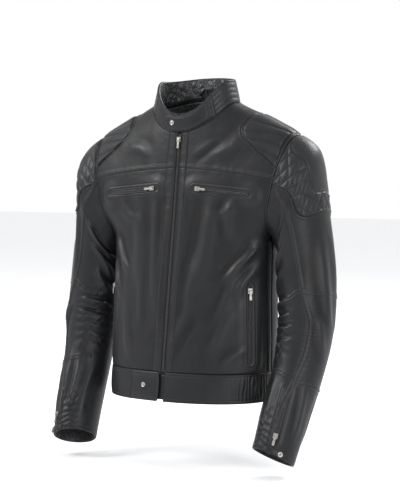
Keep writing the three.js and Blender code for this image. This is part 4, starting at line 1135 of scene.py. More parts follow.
def make_fronts():
    for name, side in SIDES:
        skin = SKINS["body", side]
        level = mix(BAND_LEVEL + 0.004, NECK_LEVEL - 0.006, np.linspace(0, 1, 320))[:, None]
        turn = mix(body_turn(4.9, level), side_edge(level, "front"), spread(160)[None, :])
        outer, inner, wear = panel(skin, turn, level)
        build = Build().shell(outer, inner, wear=wear)
        stitch(build, skin, *yoke_line(), [2.0, 6.5], mark=2)
        stitch(build, skin, *placket_line(), [2.0, 13.0], mark=2)
        stitch(build, skin, *patch_border(), [3.0], mark=2)
        build.make(f"body_front_{name}", [finish(key) for key in ("leather", "lining", "thread")], side,
                   "root", "leather", (f"front_panel_{name}", f"front_yoke_{name}"))


def make_back():
    skin = SKINS["back"]
    level = mix(BAND_LEVEL + 0.004, NECK_LEVEL - 0.006, np.linspace(0, 1, 270))[:, None]
    turn = mix(side_edge(level, "back"), 360 - side_edge(level, "back"), spread(230)[None, :])
    outer, inner, wear = panel(skin, turn, level)
    build = Build().shell(outer, inner, wear=wear)
    stitch(build, skin, *back_yoke_line(), [2.0, 6.5], mark=2)
    for sign in (1, -1):
        stitch(build, skin, *back_princess_line(sign), [3.0], mark=2)
    build.make("body_back", [finish("leather"), finish("lining"), finish("thread")], 1, "root", "leather",
               ("back_panel",))


def band_layer(a, b, spots, normals):
    """A folded band with two stitched rows, gathered over the hips."""
    z = spots[..., 2]
    turned = np.abs((a + 180) % 360 - 180)
    run = turned * 3.2
    rows = bell(z - BAND_ROWS[0], 1.3) + bell(z - BAND_ROWS[1], 1.3)
    hips = bell(turned - 70, 15)
    gather = np.sin(run * 0.62 + 2.2 * noise(np.stack([run / 12, z / 20, a * 0], -1), 1.0, 41))
    puff = 0.75 * np.sin(math.pi * np.clip(z / WAISTBAND, 0, 1)) ** 0.5
    gathered = 1.0 * gather * hips * np.sin(math.pi * np.clip(z / WAISTBAND, 0, 1))
    return puff - 0.55 * rows + gathered + 0.4 * noise(spots, (30, 30, 18), 17)


def band_stitches(build, skin, start, end):
    turn = np.linspace(start + 1.2, end - 1.2, 60)
    for height in BAND_ROWS:
        stitch(build, skin, turn, np.full(60, height / WAISTBAND), [0.0], 0.3, mark=2)


def make_waistband():
    skin = Skin(body_point, 0.5, 0.02, 0.0, 10.0)
    skin.layers.append(band_layer)
    parts = [("left", 1, body_turn(ZIP_SLOT, 0.5), 89.7, "waistband_left"),
             ("right", 1, 270.3, 360 - body_turn(80, 0.5) - 0.3, "waistband_right"),
             ("back", 1, 90.3, 269.7, "waistband_back")]
    level = mix(0.004, 0.994, np.linspace(0, 1, 44))[:, None]
    for name, side, start, end, node in parts:
        columns = int((end - start) * 2.2)
        outer, inner, wear = panel(skin, np.linspace(start, end, columns)[None, :], level, fall=0.9)
        build = Build().shell(outer, inner, wear=wear)
        band_stitches(build, skin, start, end)
        build.make(f"band_{name}", [finish("leather"), finish("lining"), finish("thread")], side, "root",
                   "leather", (node,))
    turn = np.linspace(360 - body_turn(61, 0.5), 360 + body_turn(40, 0.5), 60)[None, :]
    outer, inner, wear = panel(Skin(body_point, 0.5, 0.02, 0.0, 10.0), turn,
                               mix(0.08, 0.92, np.linspace(0, 1, 20))[:, None],
                               lift=-3.8, under=-6.0, fall=0.5)
    Build().shell(outer, inner, marks=(0, 0), wear=wear).make("band_underlap", [finish("trim")], 1, "root",
                                                              "trim_leather", ("hem_underlap",))


def tab(skin, root, tip, low, high, lift, under, name, body, slot_name, nodes, side=1, blunt=0.86, rows=25):
    """A tab from its sewn root to its rounded tip, with a stitched edge."""
    share = spread(80)[None, :]
    across = np.linspace(-1, 1, rows)[:, None]
    width = (1 - np.clip((share - blunt) / (1.001 - blunt), 0, 1) ** 2.6) ** 0.5
    a = mix(root, tip, share)
    forward = tip > root
    b = (low + high) / 2 + (high - low) / 2 * across * width
    if not forward:
        a, b = a[:, ::-1], b[:, ::-1]
    a, b = np.broadcast_arrays(a, b)
    spot, out = skin.base(a, b)
    inset = np.minimum(1 - np.abs(across), (1 - share if forward else share[:, ::-1]) * 3)
    inset = np.broadcast_to(inset, a.shape)
    top = lift + 0.5 * ease(0, 0.5, inset) - 0.45 * bell(inset - 0.22, 0.07) - edge_fall(spot, 0.7, 0.9)
    top = top + 0.15 * noise(spot, 9, 51)
    build = Build().shell(spot + out * top[..., None], spot + out * under, marks=(0, 0),
                          wear=ease(0.8, 0, inset) * 0.5)
    for sign in (-1, 1):
        line = np.linspace(0.04, blunt, 50)
        la = mix(root, tip, line)
        lb = np.full(50, (low + high) / 2 + sign * (high - low) * 0.39)
        plain = Skin(skin.place, skin.step_a, skin.step_b, skin.low_b, skin.high_b)
        stitch(build, plain, la, lb, [0.0], lift + 0.2, mark=1)
    return build.make(name, [finish("trim"), finish("thread")], side, body, slot_name, nodes)


CAP_PROFILE = [(0.0, 1.5), (1.9, 1.5), (2.5, 1.1), (3.3, 1.05), (3.9, 1.75), (4.6, 2.0), (5.2, 1.6),
               (5.5, 0.8), (5.4, 0.0), (0.0, 0.0)]


def turned_piece(build, profile, centre, out, mark=0, count=40):
    """A profile of (radius, height) revolved about an axis."""
    profile = np.asarray(profile, float)[::-1]
    side = unit(np.cross(out, [0, 0, 1.0]))
    up = np.cross(out, side)
    angle = np.arange(count) * 2 * math.pi / count
    ring_ = np.cos(angle)[:, None] * side + np.sin(angle)[:, None] * up
    verts = centre + out * profile[:, 1][:, None, None] + ring_[None] * profile[:, 0][:, None, None]
    verts[0], verts[-1] = centre + out * profile[0, 1], centre + out * profile[-1, 1]
    rings = verts[1:-1].reshape(-1, 3)
    points = np.concatenate([rings, verts[0, :1], verts[-1, :1]])
    last = len(profile) - 2
    around = np.arange(count)
    nxt = (around + 1) % count
    low = np.stack([np.full(count, last * count), around, nxt], -1)
    end = (last - 1) * count
    high = np.stack([np.full(count, last * count + 1), nxt + end, around + end], -1)
    quads = grid_faces(last, count, True)
    turn = np.sum(np.cross(rings[count] - rings[0], rings[1] - rings[0]) * (rings[0] - centre))
    if turn <= 0:
        quads, low, high = quads[:, ::-1], low[:, ::-1], high[:, ::-1]
    return build.add(points, [quads, low, high], mark)


def snap(name, skin, a, b, lift, body, node, side=1):
    spot, out = skin.base(np.array(a), np.array(b))
    build = turned_piece(Build(), CAP_PROFILE, spot + out * lift, out)
    return build.make(name, [finish("bright")], side, body, "metal", (node,) if node else ())


def make_hem_tab():
    skin = Skin(body_point, 0.5, 0.02, 0.0, 10.0)
    root, tip = 360 - body_turn(80, 0.5), 360 - body_turn(ZIP_SLOT, 0.5)
    tab(skin, root, tip, 0.01, 0.995, 1.8, -0.8, "band_tab", "hem_tab", "trim_leather",
        ("hem_tab",), blunt=0.95)
    snap("band_snap", skin, 360 - body_turn(45, 0.5), 0.55, 2.3, "hem_tab", "hem_snap_cap")


# ---------- the collar ----------


def collar_layer(a, b, spots, normals):
    """Seams and lengthwise ribs of the collar, in millimetres above its surface."""
    turned = np.abs((a + 180) % 360 - 180)
    rise = b * COLLAR_DEPTH
    patch = ease(47, 50, turned) * (1 - ease(102, 105, turned))
    ribs = 0.75 * np.abs(np.sin(b * math.pi * 4.5)) ** 0.7
    edge = 1.1 * (bell(turned - 48.5, 1.0) + bell(turned - 103.5, 1.0))
    rows = 0.6 * (bell(rise - COLLAR_ROWS[0], 1.0) + bell(rise - COLLAR_ROWS[1], 1.0))
    uneven = 0.35 * noise(spots, (16, 16, 12), 61) + 0.2 * noise(spots, 6, 62)
    return 0.5 + patch * ribs - edge - rows * (1 - patch) + uneven


def make_collar():
    skin = Skin(collar_point, 0.5, 0.02, 0.0, 1.0)
    skin.layers.append(collar_layer)
    meet = collar_turn(0.6)
    turn = np.linspace(meet, 360 - meet, 420)[:, None]
    down = np.linspace(0.97, 0.02, 34)[None, :]
    outer, _, wear = panel(skin, turn, down, "", 0.0)
    falling = edge_fall(outer, 0.7, 1.2, "bt")[..., None]
    outer = outer - skin.base(turn, down)[1] * falling
    up = np.linspace(0.04, 0.95, 34)[None, :]
    spot, out = skin.base(*np.broadcast_arrays(turn, up))
    crinkle = 0.9 * noise(spot, (9, 9, 26), 63) + 0.5 * noise(spot, (4, 4, 12), 64)
    held = np.sin(math.pi * np.clip((up - 0.04) / 0.93, 0, 1)) ** 0.5
    inner = spot + out * (-3.9 - 0.7 + crinkle * held * 0.8)[..., None]
    top_out, top_in = outer[:, :1], inner[:, -1:]
    ahead = unit(outer[:, :1] - outer[:, 2:3])
    turnover = np.linspace(0, math.pi, 9)[1:-1]
    middle, arm = (top_out + top_in) / 2, (top_in - top_out) / 2
    roll = np.stack([middle[:, 0] - arm[:, 0] * math.cos(t) + ahead[:, 0] * 2.1 * math.sin(t)
                     for t in turnover], 1)
    grid = np.concatenate([outer, inner, roll], 1)
    rows, cols = grid.shape[:2]
    quads = grid_faces(rows, cols, True)
    column = quads[:, 0] % cols
    inside = (column >= 34) & (column < 67)
    caps = [np.arange(cols)[None, ::-1], (np.arange(cols) + (rows - 1) * cols)[None, :]]
    build = Build()
    build.add(grid, [quads[~inside]], 0, np.concatenate([wear, wear * 0, np.full((rows, 7), 0.5)], 1))
    first = build.count - rows * cols
    build.faces.append(quads[inside] + first)
    build.marks.append(np.ones(int(inside.sum())))
    for cap in caps:
        build.faces.append(cap + first)
        build.marks.append(np.zeros(1))
    for rise in (row / COLLAR_DEPTH for row in COLLAR_ROWS):
        stitch(build, skin, np.linspace(meet + 2, 358 - meet, 200), np.full(200, rise), [0.0], 0.3, mark=2)
    around = np.linspace(meet + 2, 358 - meet, 220)
    seam, out = skin.base(around, np.zeros(220))
    build.tube(seam - out * 1.7, out, circle(1.7, 8)[::-1], mark=0)
    share = np.linspace(0, 1, 14)[:, None]
    high, high_out = skin.base(around, np.full(220, 0.09))
    low, low_out = BODY.base(around, np.full(220, 9.35))
    facing = mix((low - low_out * 7.4)[None], (high - high_out * 5.2)[None], share[..., None])
    build.shell(facing, facing - mix(low_out[None], high_out[None], share[..., None]) * 0.8, marks=(0, 0))
    build.make("collar", [finish("trim"), finish("crinkled"), finish("thread")], 1, "root", "trim_leather",
               ("collar_shell", "collar_lining"))


def make_collar_tab():
    skin = Skin(collar_point, 0.5, 0.02, 0.0, 1.0)
    tab(skin, collar_turn(66), -collar_turn(38), 0.1, 0.9, 3.7, 1.8, "collar_strap", "collar_tab",
        "trim_leather", ("collar_tab",), blunt=0.8)
    snap("collar_snap", skin, -collar_turn(16), 0.5, 4.1, "collar_tab", "collar_snap_cap")


# ---------- quilted pads ----------


def puffed(piece, pins, spread_limit):
    """Settle a sewn pad with cloth, held at its seams, then keep that shape.

    At this mass and size it moves points by hundredths of a millimetre at most; the puff of a pad
    comes from the heights that its mesh starts with.
    """
    mesh = piece.data
    rest = np.empty(len(mesh.vertices) * 3, np.float32)
    mesh.vertices.foreach_get("co", rest)
    rest = rest.reshape(-1, 3)
    group = piece.vertex_groups.new(name="sewn")
    steps = np.round(pins * 8).astype(int)
    for step in range(9):
        chosen = np.where(steps == step)[0].tolist()
        if chosen:
            group.add(chosen, step / 8, "REPLACE")
    cloth = piece.modifiers.new("puff", "CLOTH")
    settings = cloth.settings
    settings.vertex_group_mass = "sewn"
    settings.quality = 4
    settings.mass = 0.15
    settings.tension_stiffness = 12
    settings.compression_stiffness = 12
    settings.shear_stiffness = 6
    settings.bending_stiffness = 0.4
    settings.use_pressure = True
    settings.uniform_pressure_force = 4.0
    settings.effector_weights.gravity = 0.0
    cloth.collision_settings.use_self_collision = False
    cloth.point_cache.frame_start, cloth.point_cache.frame_end = 1, CLOTH_FRAMES
    scene = bpy.context.scene
    for step in range(1, CLOTH_FRAMES + 1):
        scene.frame_set(step)
    shaped = piece.evaluated_get(bpy.context.evaluated_depsgraph_get()).data
    found = np.empty(len(mesh.vertices) * 3, np.float32)
    shaped.vertices.foreach_get("co", found)
    moved = found.reshape(-1, 3) - rest
    piece.modifiers.remove(cloth)
    scene.frame_set(1)
    length = np.linalg.norm(moved, axis=1, keepdims=True)
    moved = moved * np.minimum(1, spread_limit / np.maximum(length, 1e-9))
    moved = np.where(np.isfinite(moved), moved, 0) * (1 - pins[:, None])
    mesh.vertices.foreach_set("co", (rest + moved).astype(np.float32).ravel())
    mesh.update()


def finer(piece):
    """One subdivision, applied."""
    step = piece.modifiers.new("finer", "SUBSURF")
    step.levels = step.render_levels = 1
    made = bpy.data.meshes.new_from_object(piece.evaluated_get(bpy.context.evaluated_depsgraph_get()))
    piece.modifiers.remove(step)
    old = piece.data
    piece.data = made
    bpy.data.meshes.remove(old)


def make_shoulder_pads():
    sizes = bpy.context.scene.jacket_sizes
    puff = sizes.quilt_puff * 1000
    for name, side in SIDES:
        share = mix(0.055, 1.0, spread(50))[:, None]
        around = np.linspace(0.0, 1.0, 200)[None, :]
        turn, level = patch_spot(*np.broadcast_arrays(around, share))
        spot, out = BODY.base(turn, level)
        channel = np.abs(np.sin(math.pi * around * 10))
        height = 1.5 + puff * channel ** 0.62 + 0.25 * noise(spot, 14, 71) - edge_fall(spot, puff + 0.4, 2.6)
        seam = np.maximum(bell(channel, 0.28) * np.ones_like(share), edge_fall(spot, 1.0, 2.2))
        # The pad's colour is lighter on each puff and darker along the sewn channels, which is painted shade
        # in the channels.
        build = Build().shell(spot + out * np.maximum(height, 1.0)[..., None], spot + out * 0.9,
                              marks=(0, 0), wear=0.4 * channel * np.ones_like(share))
        piece = build.make(f"shoulder_pad_{name}", [finish("quilted")], side)
        pins = np.ones(len(piece.data.vertices))
        pins[:seam.size] = np.clip(seam, 0, 1).ravel()
        puffed(piece, pins, 0.0025)
        finer(piece)
        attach(piece, "root")
        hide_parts(f"shoulder_patch_{name}")


def quilt_height(angle, along, puff):
    """Diamond quilting with a smooth panel on the outside of the arm, and where it is sewn down."""
    across, down = angle * 1.15, along * 75
    first, second = (across + down * 1.05) / 27, (across - down * 1.05) / 27
    channel = np.minimum(np.abs(np.sin(math.pi * first)), np.abs(np.sin(math.pi * second)))
    rim = ((np.abs(angle + 8) / 50) ** 4 + (np.abs(along - 1.0) / 0.85) ** 4) ** 0.25
    inside = 1 - ease(0.97, 1.0, rim)
    sewn = np.maximum(bell(channel, 0.2) * (1 - inside), bell(rim - 1, 0.035))
    smooth_panel = 0.75 * puff + 0.5 * (1 - np.minimum(rim, 1))
    height = mix(puff * channel ** 0.6, smooth_panel, inside) * (1 - bell(rim - 1, 0.03))
    return height + 1.0 * bell(rim - 1.05, 0.02), sewn


def make_sleeve_pads():
    sizes = bpy.context.scene.jacket_sizes
    puff = sizes.quilt_puff * 1000
    for name, side in SIDES:
        skin = SKINS["sleeve", side]
        angle = np.linspace(-83.6, 83.6, 150)[None, :]
        along = mix(0.10, cap_along(angle), spread(110)[:, None])
        angle, along = np.broadcast_arrays(angle, along)
        spot, out = skin.base(angle, along)
        under = np.maximum(skin.relief(angle, along, spot, out), -0.4)
        height, sewn = quilt_height(angle, along, puff)
        fall = edge_fall(spot, 1.0, 2.4, "bt") + bell((83.6 - np.abs(angle)), 1.4)
        height = under + 0.9 + height * (1 - np.clip(fall, 0, 1)) - 0.5 * np.clip(fall, 0, 1)
        sewn = np.clip(np.maximum(sewn, fall), 0, 1)
        # The colour is darker along the sewn lines and falling edges of the quilting, which is painted shade
        # in its channels.
        build = Build().shell(spot + out * height[..., None], spot + out * (under + 0.15)[..., None],
                              marks=(0, 0), wear=0.45 * (1 - sewn))
        piece = build.make(f"sleeve_pad_{name}", [finish("quilted")], side)
        pins = np.ones(len(piece.data.vertices))
        pins[:sewn.size] = sewn.ravel()
        puffed(piece, pins, 0.0025)
        finer(piece)
        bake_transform(piece)


# ---------- sleeves ----------


def grid_normals(points):
    """Outward normals of a grid that closes on itself sideways."""
    sideways = np.roll(points, -1, 1) - np.roll(points, 1, 1)
    return unit(np.cross(sideways, np.gradient(points, axis=0)))


def hold_normals(piece, rows, normals, side):
    """Fix the shading where two pieces of one surface meet."""
    held = np.zeros((len(piece.data.vertices), 3))
    held[rows] = normals.reshape(-1, 3) * np.array([side, 1, 1])
    piece.data.normals_split_custom_set_from_vertices(held.tolist())


def make_sleeves():
    for name, side in SIDES:
        skin = SKINS["sleeve", side]
        upper = np.linspace(0.003, SLEEVE_SPLIT, 150)
        lower = np.linspace(SLEEVE_SPLIT, SLEEVE_END - 0.005, 190)
        angle = np.linspace(-180, 180, 241)[None, :-1]
        along = np.concatenate([upper, lower[1:]])[:, None]
        outer, inner, wear = panel(skin, angle, along, "b", 0.9, 1.4)
        hem = (SLEEVE_END - along) * CUFF_LEVEL_LENGTH
        fall = 0.9 * bell(hem, 1.6) + 0.45 * bell(hem - 13, 1.0)
        outer = outer - skin.base(angle, along)[1] * fall[..., None]
        normals = grid_normals(outer)
        parts = [("upper", slice(0, 150), True, (f"upper_sleeve_outer_{name}",
                                                f"upper_sleeve_inner_{name}")),
                 ("lower", slice(149, 339), False, (f"elbow_panel_{name}", f"forearm_outer_{name}",
                                                   f"forearm_inner_{name}"))]
        for part, rows, is_upper, nodes in parts:
            build = Build().shell(outer[rows], inner[rows], True, wear=wear[rows])
            low, high = (0.02, SLEEVE_SPLIT) if is_upper else (SLEEVE_SPLIT, 7.98)

            def inside(a, b, low=low, high=high):
                return (b >= low) & (b < high)

            stitch(build, skin, *drawn(FRONT_SEAM, 160), [2.0, 5.6], mark=2, keep=inside)
            if not is_upper:
                stitch(build, skin, *drawn(ELBOW_TOP_SEAM, 80), [2.8], mark=2)
                stitch(build, skin, *drawn(ELBOW_LOW_SEAM, 80), [-2.8], mark=2)
                stitch(build, skin, np.linspace(-180, 180, 120), np.full(120, 7.8), [0.0], mark=2)
            materials = [finish(key) for key in ("leather", "lining", "thread")]
            piece = build.make(f"sleeve_{part}_{name}", materials, side, None, "leather", nodes,
                               sleeve_blend(name, side, is_upper))
            last = 149 if is_upper else 0
            held = np.arange(240) + last * 240
            hold_normals(piece, held, normals[149:150], side)


def make_piping():
    for name, side in SIDES:
        angle = np.linspace(0, 360, 181)[:-1]
        path = armhole_point(angle)
        arm = path - ARMHOLE_CENTRE
        away = unit(arm - (arm @ ARMHOLE_NORMAL)[:, None] * ARMHOLE_NORMAL)
        build = Build().tube(path - away * 0.9, away, circle(1.7, 10)[::-1], closed=True, wear=0.4)
        build.make(f"armhole_piping_{name}", [finish("trim")], side, "root", "trim_leather")


def make_cuffs():
    for name, side in SIDES:
        skin = Skin(sleeve_point, 0.5, 0.02, 0.0, 8.0)
        tab(skin, 94, 36, *CUFF_TAB_SPAN, 2.3, 0.5, f"cuff_strap_{name}", f"cuff_tab_{name}", "trim_leather",
            (f"cuff_tab_{name}",), side, 0.8, 19)
        snap(f"cuff_snap_{name}", skin, 48.0, sum(CUFF_TAB_SPAN) / 2, 2.4, f"cuff_tab_{name}", None, side)


# ---------- zips ----------


def stadium(length, half, count=14):
    """A closed loop round a slot, anticlockwise in the zip's plane."""
    turn = np.linspace(-math.pi / 2, math.pi / 2, count)
    right = np.stack([length + half * np.cos(turn), half * np.sin(turn)], -1)
    left = np.stack([-half * np.cos(turn), -half * np.sin(turn)], -1)
    top = np.stack([np.linspace(length, 0, 60)[1:-1], np.full(58, half)], -1)
    low = np.stack([np.linspace(0, length, 60)[1:-1], np.full(58, -half)], -1)
    return np.concatenate([low, right, top, left])


def make_pocket_zip(name, zip_frame, node, side, body):
    ends = 4.0
    loop = stadium(zip_frame.length - 2 * ends, 4.6)
    path = zip_frame.at(loop[:, 0] + ends, loop[:, 1], 0.15)
    outs = np.broadcast_to(zip_frame.out, path.shape)
    lip = np.stack([circle(1.7, 10)[:, 0], circle(1.7, 10)[:, 1] * 0.62], -1)
    build = Build().tube(path, outs, lip, closed=True, wear=0.5)
    x = np.array([0.8, zip_frame.length - 0.8])
    y = np.array([-3.6, 3.6])
    grid = zip_frame.at(x[None, :], y[:, None], 0.15)
    build.shell(grid, grid - zip_frame.out * 0.9, marks=(1, 1))
    places = np.arange(2.0, zip_frame.length - 1.5, COIL_PITCH)
    template, faces = capsule(2.7, 0.55, 0.9)
    for sign in (-1, 1):
        spots = zip_frame.at(places + 0.38 * sign, sign * 1.1, 0.75)
        count = len(spots)
        xs = np.broadcast_to(unit(zip_frame.side + 0.12 * sign * zip_frame.along), (count, 3))
        zs = np.broadcast_to(zip_frame.out, (count, 3))
        build.scatter(template, faces, spots, xs, unit(np.cross(zs, xs)), zs, 2)
    seam = stadium(zip_frame.length - 2 * ends, POCKET_SEAM_HALF)
    run = np.concatenate([[0], np.cumsum(np.linalg.norm(np.diff(seam, axis=0), axis=1))])
    steps = np.arange(0, run[-1], STITCH_PITCH)
    sx, sy = np.interp(steps, run, seam[:, 0]), np.interp(steps, run, seam[:, 1])
    template, faces = capsule(STITCH_LENGTH, STITCH_RADIUS)
    if body == "root":
        spots = zip_frame.at(sx + ends, sy, -0.55)
        ahead = unit(np.gradient(spots, axis=0))
        outs = np.broadcast_to(zip_frame.out, spots.shape)
        build.scatter(template, faces, spots, ahead, unit(np.cross(outs, ahead)), outs, 3)
    build.make(name, [finish(key) for key in ("trim", "tape", "steel", "thread")], side, body, "zip_tape",
               (node,))


def make_main_zip():
    top, low = body_point(0.0, 10.0), body_point(0.0, 1.0)
    along = unit(low - top)
    out = unit(np.array([0, -1.0, 0]) - along * (np.array([0, -1.0, 0]) @ along))
    across = np.cross(out, along)
    length = float(np.linalg.norm(low - top))
    template, faces = chamfered_block(1.5, 2.9, 2.0, 0.45)
    for name, sign in SIDES:
        build = Build()
        x = np.linspace(1.5, length - 1.0, 90)[None, :]
        y = np.array([0.25, 1.2, 5.0, 9.0, 13.9])[:, None] * -sign
        points = top + x[..., None] * along + y[..., None] * across + out * -3.3
        points = points[::-1] if sign > 0 else points
        build.shell(points, points - out * 0.7, marks=(0, 0))
        places = np.arange(6.0, length - 4, TOOTH_PITCH) + (TOOTH_PITCH / 2 if sign > 0 else 0)
        spots = top + places[:, None] * along + out * -3.3 - across * sign * 1.15
        count = len(spots)
        axes = (np.broadcast_to(axis, (count, 3)) for axis in (along, across, out))
        build.scatter(template, faces, spots, *axes, 1)
        build.make(f"front_zip_{name}", [finish("tape"), finish("steel")], 1, "root", "zip_tape",
                   (f"main_zip_{name}",))


def make_zips():
    make_main_zip()
    for name, side in SIDES:
        make_pocket_zip(f"chest_pocket_{name}", CHEST_ZIP, f"chest_zip_{name}", side, "root")
        make_pocket_zip(f"hand_pocket_{name}", HAND_ZIP, f"hand_zip_{name}", side, "root")
        make_pocket_zip(f"cuff_gusset_{name}", CUFF_ZIP, f"cuff_zip_{name}", side, f"forearm_{name}")


# ---------- sliders, pulls and hidden parts ----------


def rounded(node, name, body, material, width=0.25):
    """The solid part itself with its sharp edges rounded."""
    piece = bpy.data.objects.new(name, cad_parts[node].data.copy())
    bpy.context.scene.collection.objects.link(piece)
    edge = piece.modifiers.new("edges", "BEVEL")
    edge.width, edge.segments = width / 1000, 3
    edge.limit_method, edge.angle_limit = "ANGLE", math.radians(35)
    made = bpy.data.meshes.new_from_object(piece.evaluated_get(bpy.context.evaluated_depsgraph_get()))
    piece.modifiers.remove(edge)
    piece.data = made
    made.materials.clear()
    made.materials.append(finish(material))
    made.shade_smooth()
    made.set_sharp_from_angle(angle=math.radians(50))
    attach(piece, body)
    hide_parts(node)
    return piece


def make_hardware():
    rounded("main_slider", "front_slider", "main_slider", "bright")
    rounded("main_pull", "front_pull", "main_pull", "bright")
    for name, _ in SIDES:
        for place in ("chest", "hand", "cuff"):
            for part in ("slider", "pull"):
                node = f"{place}_{part}_{name}"
                rounded(node, f"{place}_zip_{part}_{name}", node, "bright")
    rounded("collar_snap_stud", "collar_stud", "root", "bright")
    rounded("hem_snap_stud", "band_stud", "root", "bright")


def make_inside():
    for name, _ in SIDES:
        for place, body in (("shoulder", "root"), ("elbow", f"forearm_{name}")):
            rounded(f"{place}_protector_{name}", f"{place}_foam_{name}", body, "foam", 1.5)
    rounded("back_protector", "back_foam", "root", "foam", 1.5)
    rounded("hanger_loop", "neck_loop", "root", "trim", 0.4)
    build = Build()
    level = mix(0.2, 9.9, np.linspace(0, 1, 130))[:, None]
    front, back = side_edge(level, "front", ARMHOLE_HEM), side_edge(level, "back", ARMHOLE_HEM)
    for start, end, count in ((body_turn(17, level), front, 60), (back, 360 - back, 130),
                              (360 - front, 360 - body_turn(17, level), 60)):
        turn = mix(start, end, np.linspace(0, 1, count)[None, :])
        spot, out = BODY.base(turn, np.broadcast_to(level, turn.shape))
        crinkle = 0.5 * noise(spot, (26, 26, 50), 81) + 0.3 * noise(spot, (9, 9, 20), 82)
        face, rear = 7.9 - 0.35 * crinkle[..., None], 8.7 - 0.7 * crinkle[..., None]
        build.shell(spot - out * face, spot - out * rear, marks=(0, 0))
    build.make("body_lining", [finish("lining")], 1, "root", "lining", ("torso_lining",))


# ---------- floor, light and camera ----------


def floor_material():
    p = Paint("floor")
    tone = p.noise(400, 3)
    return p.finish(Base_Color=p.blend((0.86, 0.87, 0.88), (0.90, 0.90, 0.91), tone),
                    Roughness=0.85 + tone * 0.05)


def make_stage():
    scene = bpy.context.scene
    mesh = bpy.data.meshes.new("floor")
    reach, drop = 14.0, SOLID_BOX[0][2] - 0.02
    corners = ((-1, -1), (1, -1), (1, 1), (-1, 1))
    mesh.from_pydata([(x * reach, y * reach, drop) for x, y in corners], [], [(0, 1, 2, 3)])
    mesh.materials.append(floor_material())
    floor = bpy.data.objects.new("floor", mesh)
    scene.collection.objects.link(floor)
    world = bpy.data.worlds.new("studio")
    world.use_nodes = True
    world.node_tree.nodes["Background"].inputs["Color"].default_value = (1, 1, 1, 1)
    world.node_tree.nodes["Background"].inputs["Strength"].default_value = 1.0
    scene.world = world
    scene.view_settings.view_transform = "Standard"
    lights = [("key", (-2.6, -2.4, 2.2), 1.6, 130), ("fill", (3.0, -2.0, 0.6), 1.6, 60),
              ("rim", (0.8, 2.8, 2.0), 1.4, 90)]
    for name, place, size, watts in lights:
        lamp = bpy.data.lights.new(name, "AREA")
        lamp.shape, lamp.size, lamp.energy = "SQUARE", size, watts
        holder = bpy.data.objects.new(name, lamp)
        holder.location = place
        holder.rotation_euler = (Vector((0, 0, -0.35)) - Vector(place)).to_track_quat("-Z", "Y").to_euler()
        scene.collection.objects.link(holder)
    look = math.radians(32)
    origin_y, origin_z = ORIGIN[1] / 1000, ORIGIN[2] / 1000
    place = Vector((3.5 * math.sin(look), -3.5 * math.cos(look) - origin_y, 0.5 - origin_z))
    target = Vector((0.011 * math.cos(look), 0.011 * math.sin(look) - origin_y, 0.313 - origin_z))
    lens = bpy.data.cameras.new("camera")
    lens.lens, lens.sensor_width, lens.sensor_fit = 116.7, 36, "AUTO"
    camera = bpy.data.objects.new("camera", lens)
    camera.location = place
    camera.rotation_euler = (target - place).to_track_quat("-Z", "Y").to_euler()
    scene.collection.objects.link(camera)
    scene.camera = camera


# ---------- the panel, its settings and its operators ----------


class JacketSizes(bpy.types.PropertyGroup):
    quilt_puff: bpy.props.FloatProperty(
        name="Quilt puff", description="How far the quilted pads stand proud",
        default=0.0021, min=0.0005, max=0.005, subtype="DISTANCE", unit="LENGTH")


def colour_setting(name, description, default):
    return bpy.props.FloatVectorProperty(name=name, description=description, default=default, min=0, max=1,
                                         size=3, subtype="COLOR")


class JacketLook(bpy.types.PropertyGroup):
    # Leather is the darker colour, shown where the random tone is low and, as painted shade, in folds and
    # grooves; Worn leather shows on raised folds, seams and rubbed trims. Lining is painted shade in the
    # hollows of its crinkles, and Lining sheen is a painted highlight on their tops.
    leather_dark: colour_setting("Leather", "Colour of the leather in its folds", (0.0028, 0.003, 0.0035))
    leather_light: colour_setting("Worn leather", "Colour of the leather where it is rubbed",
                                  (0.011, 0.0115, 0.013))
    lining_dark: colour_setting("Lining", "Colour of the lining in its folds", (0.005, 0.0055, 0.0065))
    lining_light: colour_setting("Lining sheen", "Colour of the lining where it catches light",
                                 (0.02, 0.021, 0.024))
    foam: colour_setting("Foam", "Colour of the protectors", (0.03, 0.032, 0.038))


class JACKET_OT_fronts(bpy.types.Operator):
    """Make the two leather fronts with their yoke seams and stitched zip edges"""
    bl_idname = "jacket.fronts"
    bl_label = "Fronts"

    def execute(self, context):
        make_fronts()
        return {"FINISHED"}


class JACKET_OT_back(bpy.types.Operator):
    """Make the leather back with its yoke and two long seams"""
    bl_idname = "jacket.back"
    bl_label = "Back"

    def execute(self, context):
        make_back()
        return {"FINISHED"}


class JACKET_OT_waistband(bpy.types.Operator):
    """Make the waistband, its underlap and the tab with its snap"""
    bl_idname = "jacket.waistband"
    bl_label = "Waistband"

    def execute(self, context):
        make_waistband()
        make_hem_tab()
        return {"FINISHED"}


class JACKET_OT_collar(bpy.types.Operator):
    """Make the stand collar with its satin inside, its strap and its snap"""
    bl_idname = "jacket.collar"
    bl_label = "Collar"

    def execute(self, context):
        make_collar()
        make_collar_tab()
        return {"FINISHED"}


class JACKET_OT_sleeves(bpy.types.Operator):
    """Make the two sleeves, their seams and the piping round the armholes"""
    bl_idname = "jacket.sleeves"
    bl_label = "Sleeves"

    def execute(self, context):
        make_sleeves()
        make_piping()
        return {"FINISHED"}


class JACKET_OT_pads(bpy.types.Operator):
    """Make the quilted pads on the shoulders and the tops of the sleeves"""
    bl_idname = "jacket.pads"
    bl_label = "Quilted pads"

    def execute(self, context):
        make_shoulder_pads()
        make_sleeve_pads()
        return {"FINISHED"}


class JACKET_OT_cuffs(bpy.types.Operator):
    """Make the cuff straps and their snaps"""
    bl_idname = "jacket.cuffs"
    bl_label = "Cuffs"

    def execute(self, context):
        make_cuffs()
        return {"FINISHED"}


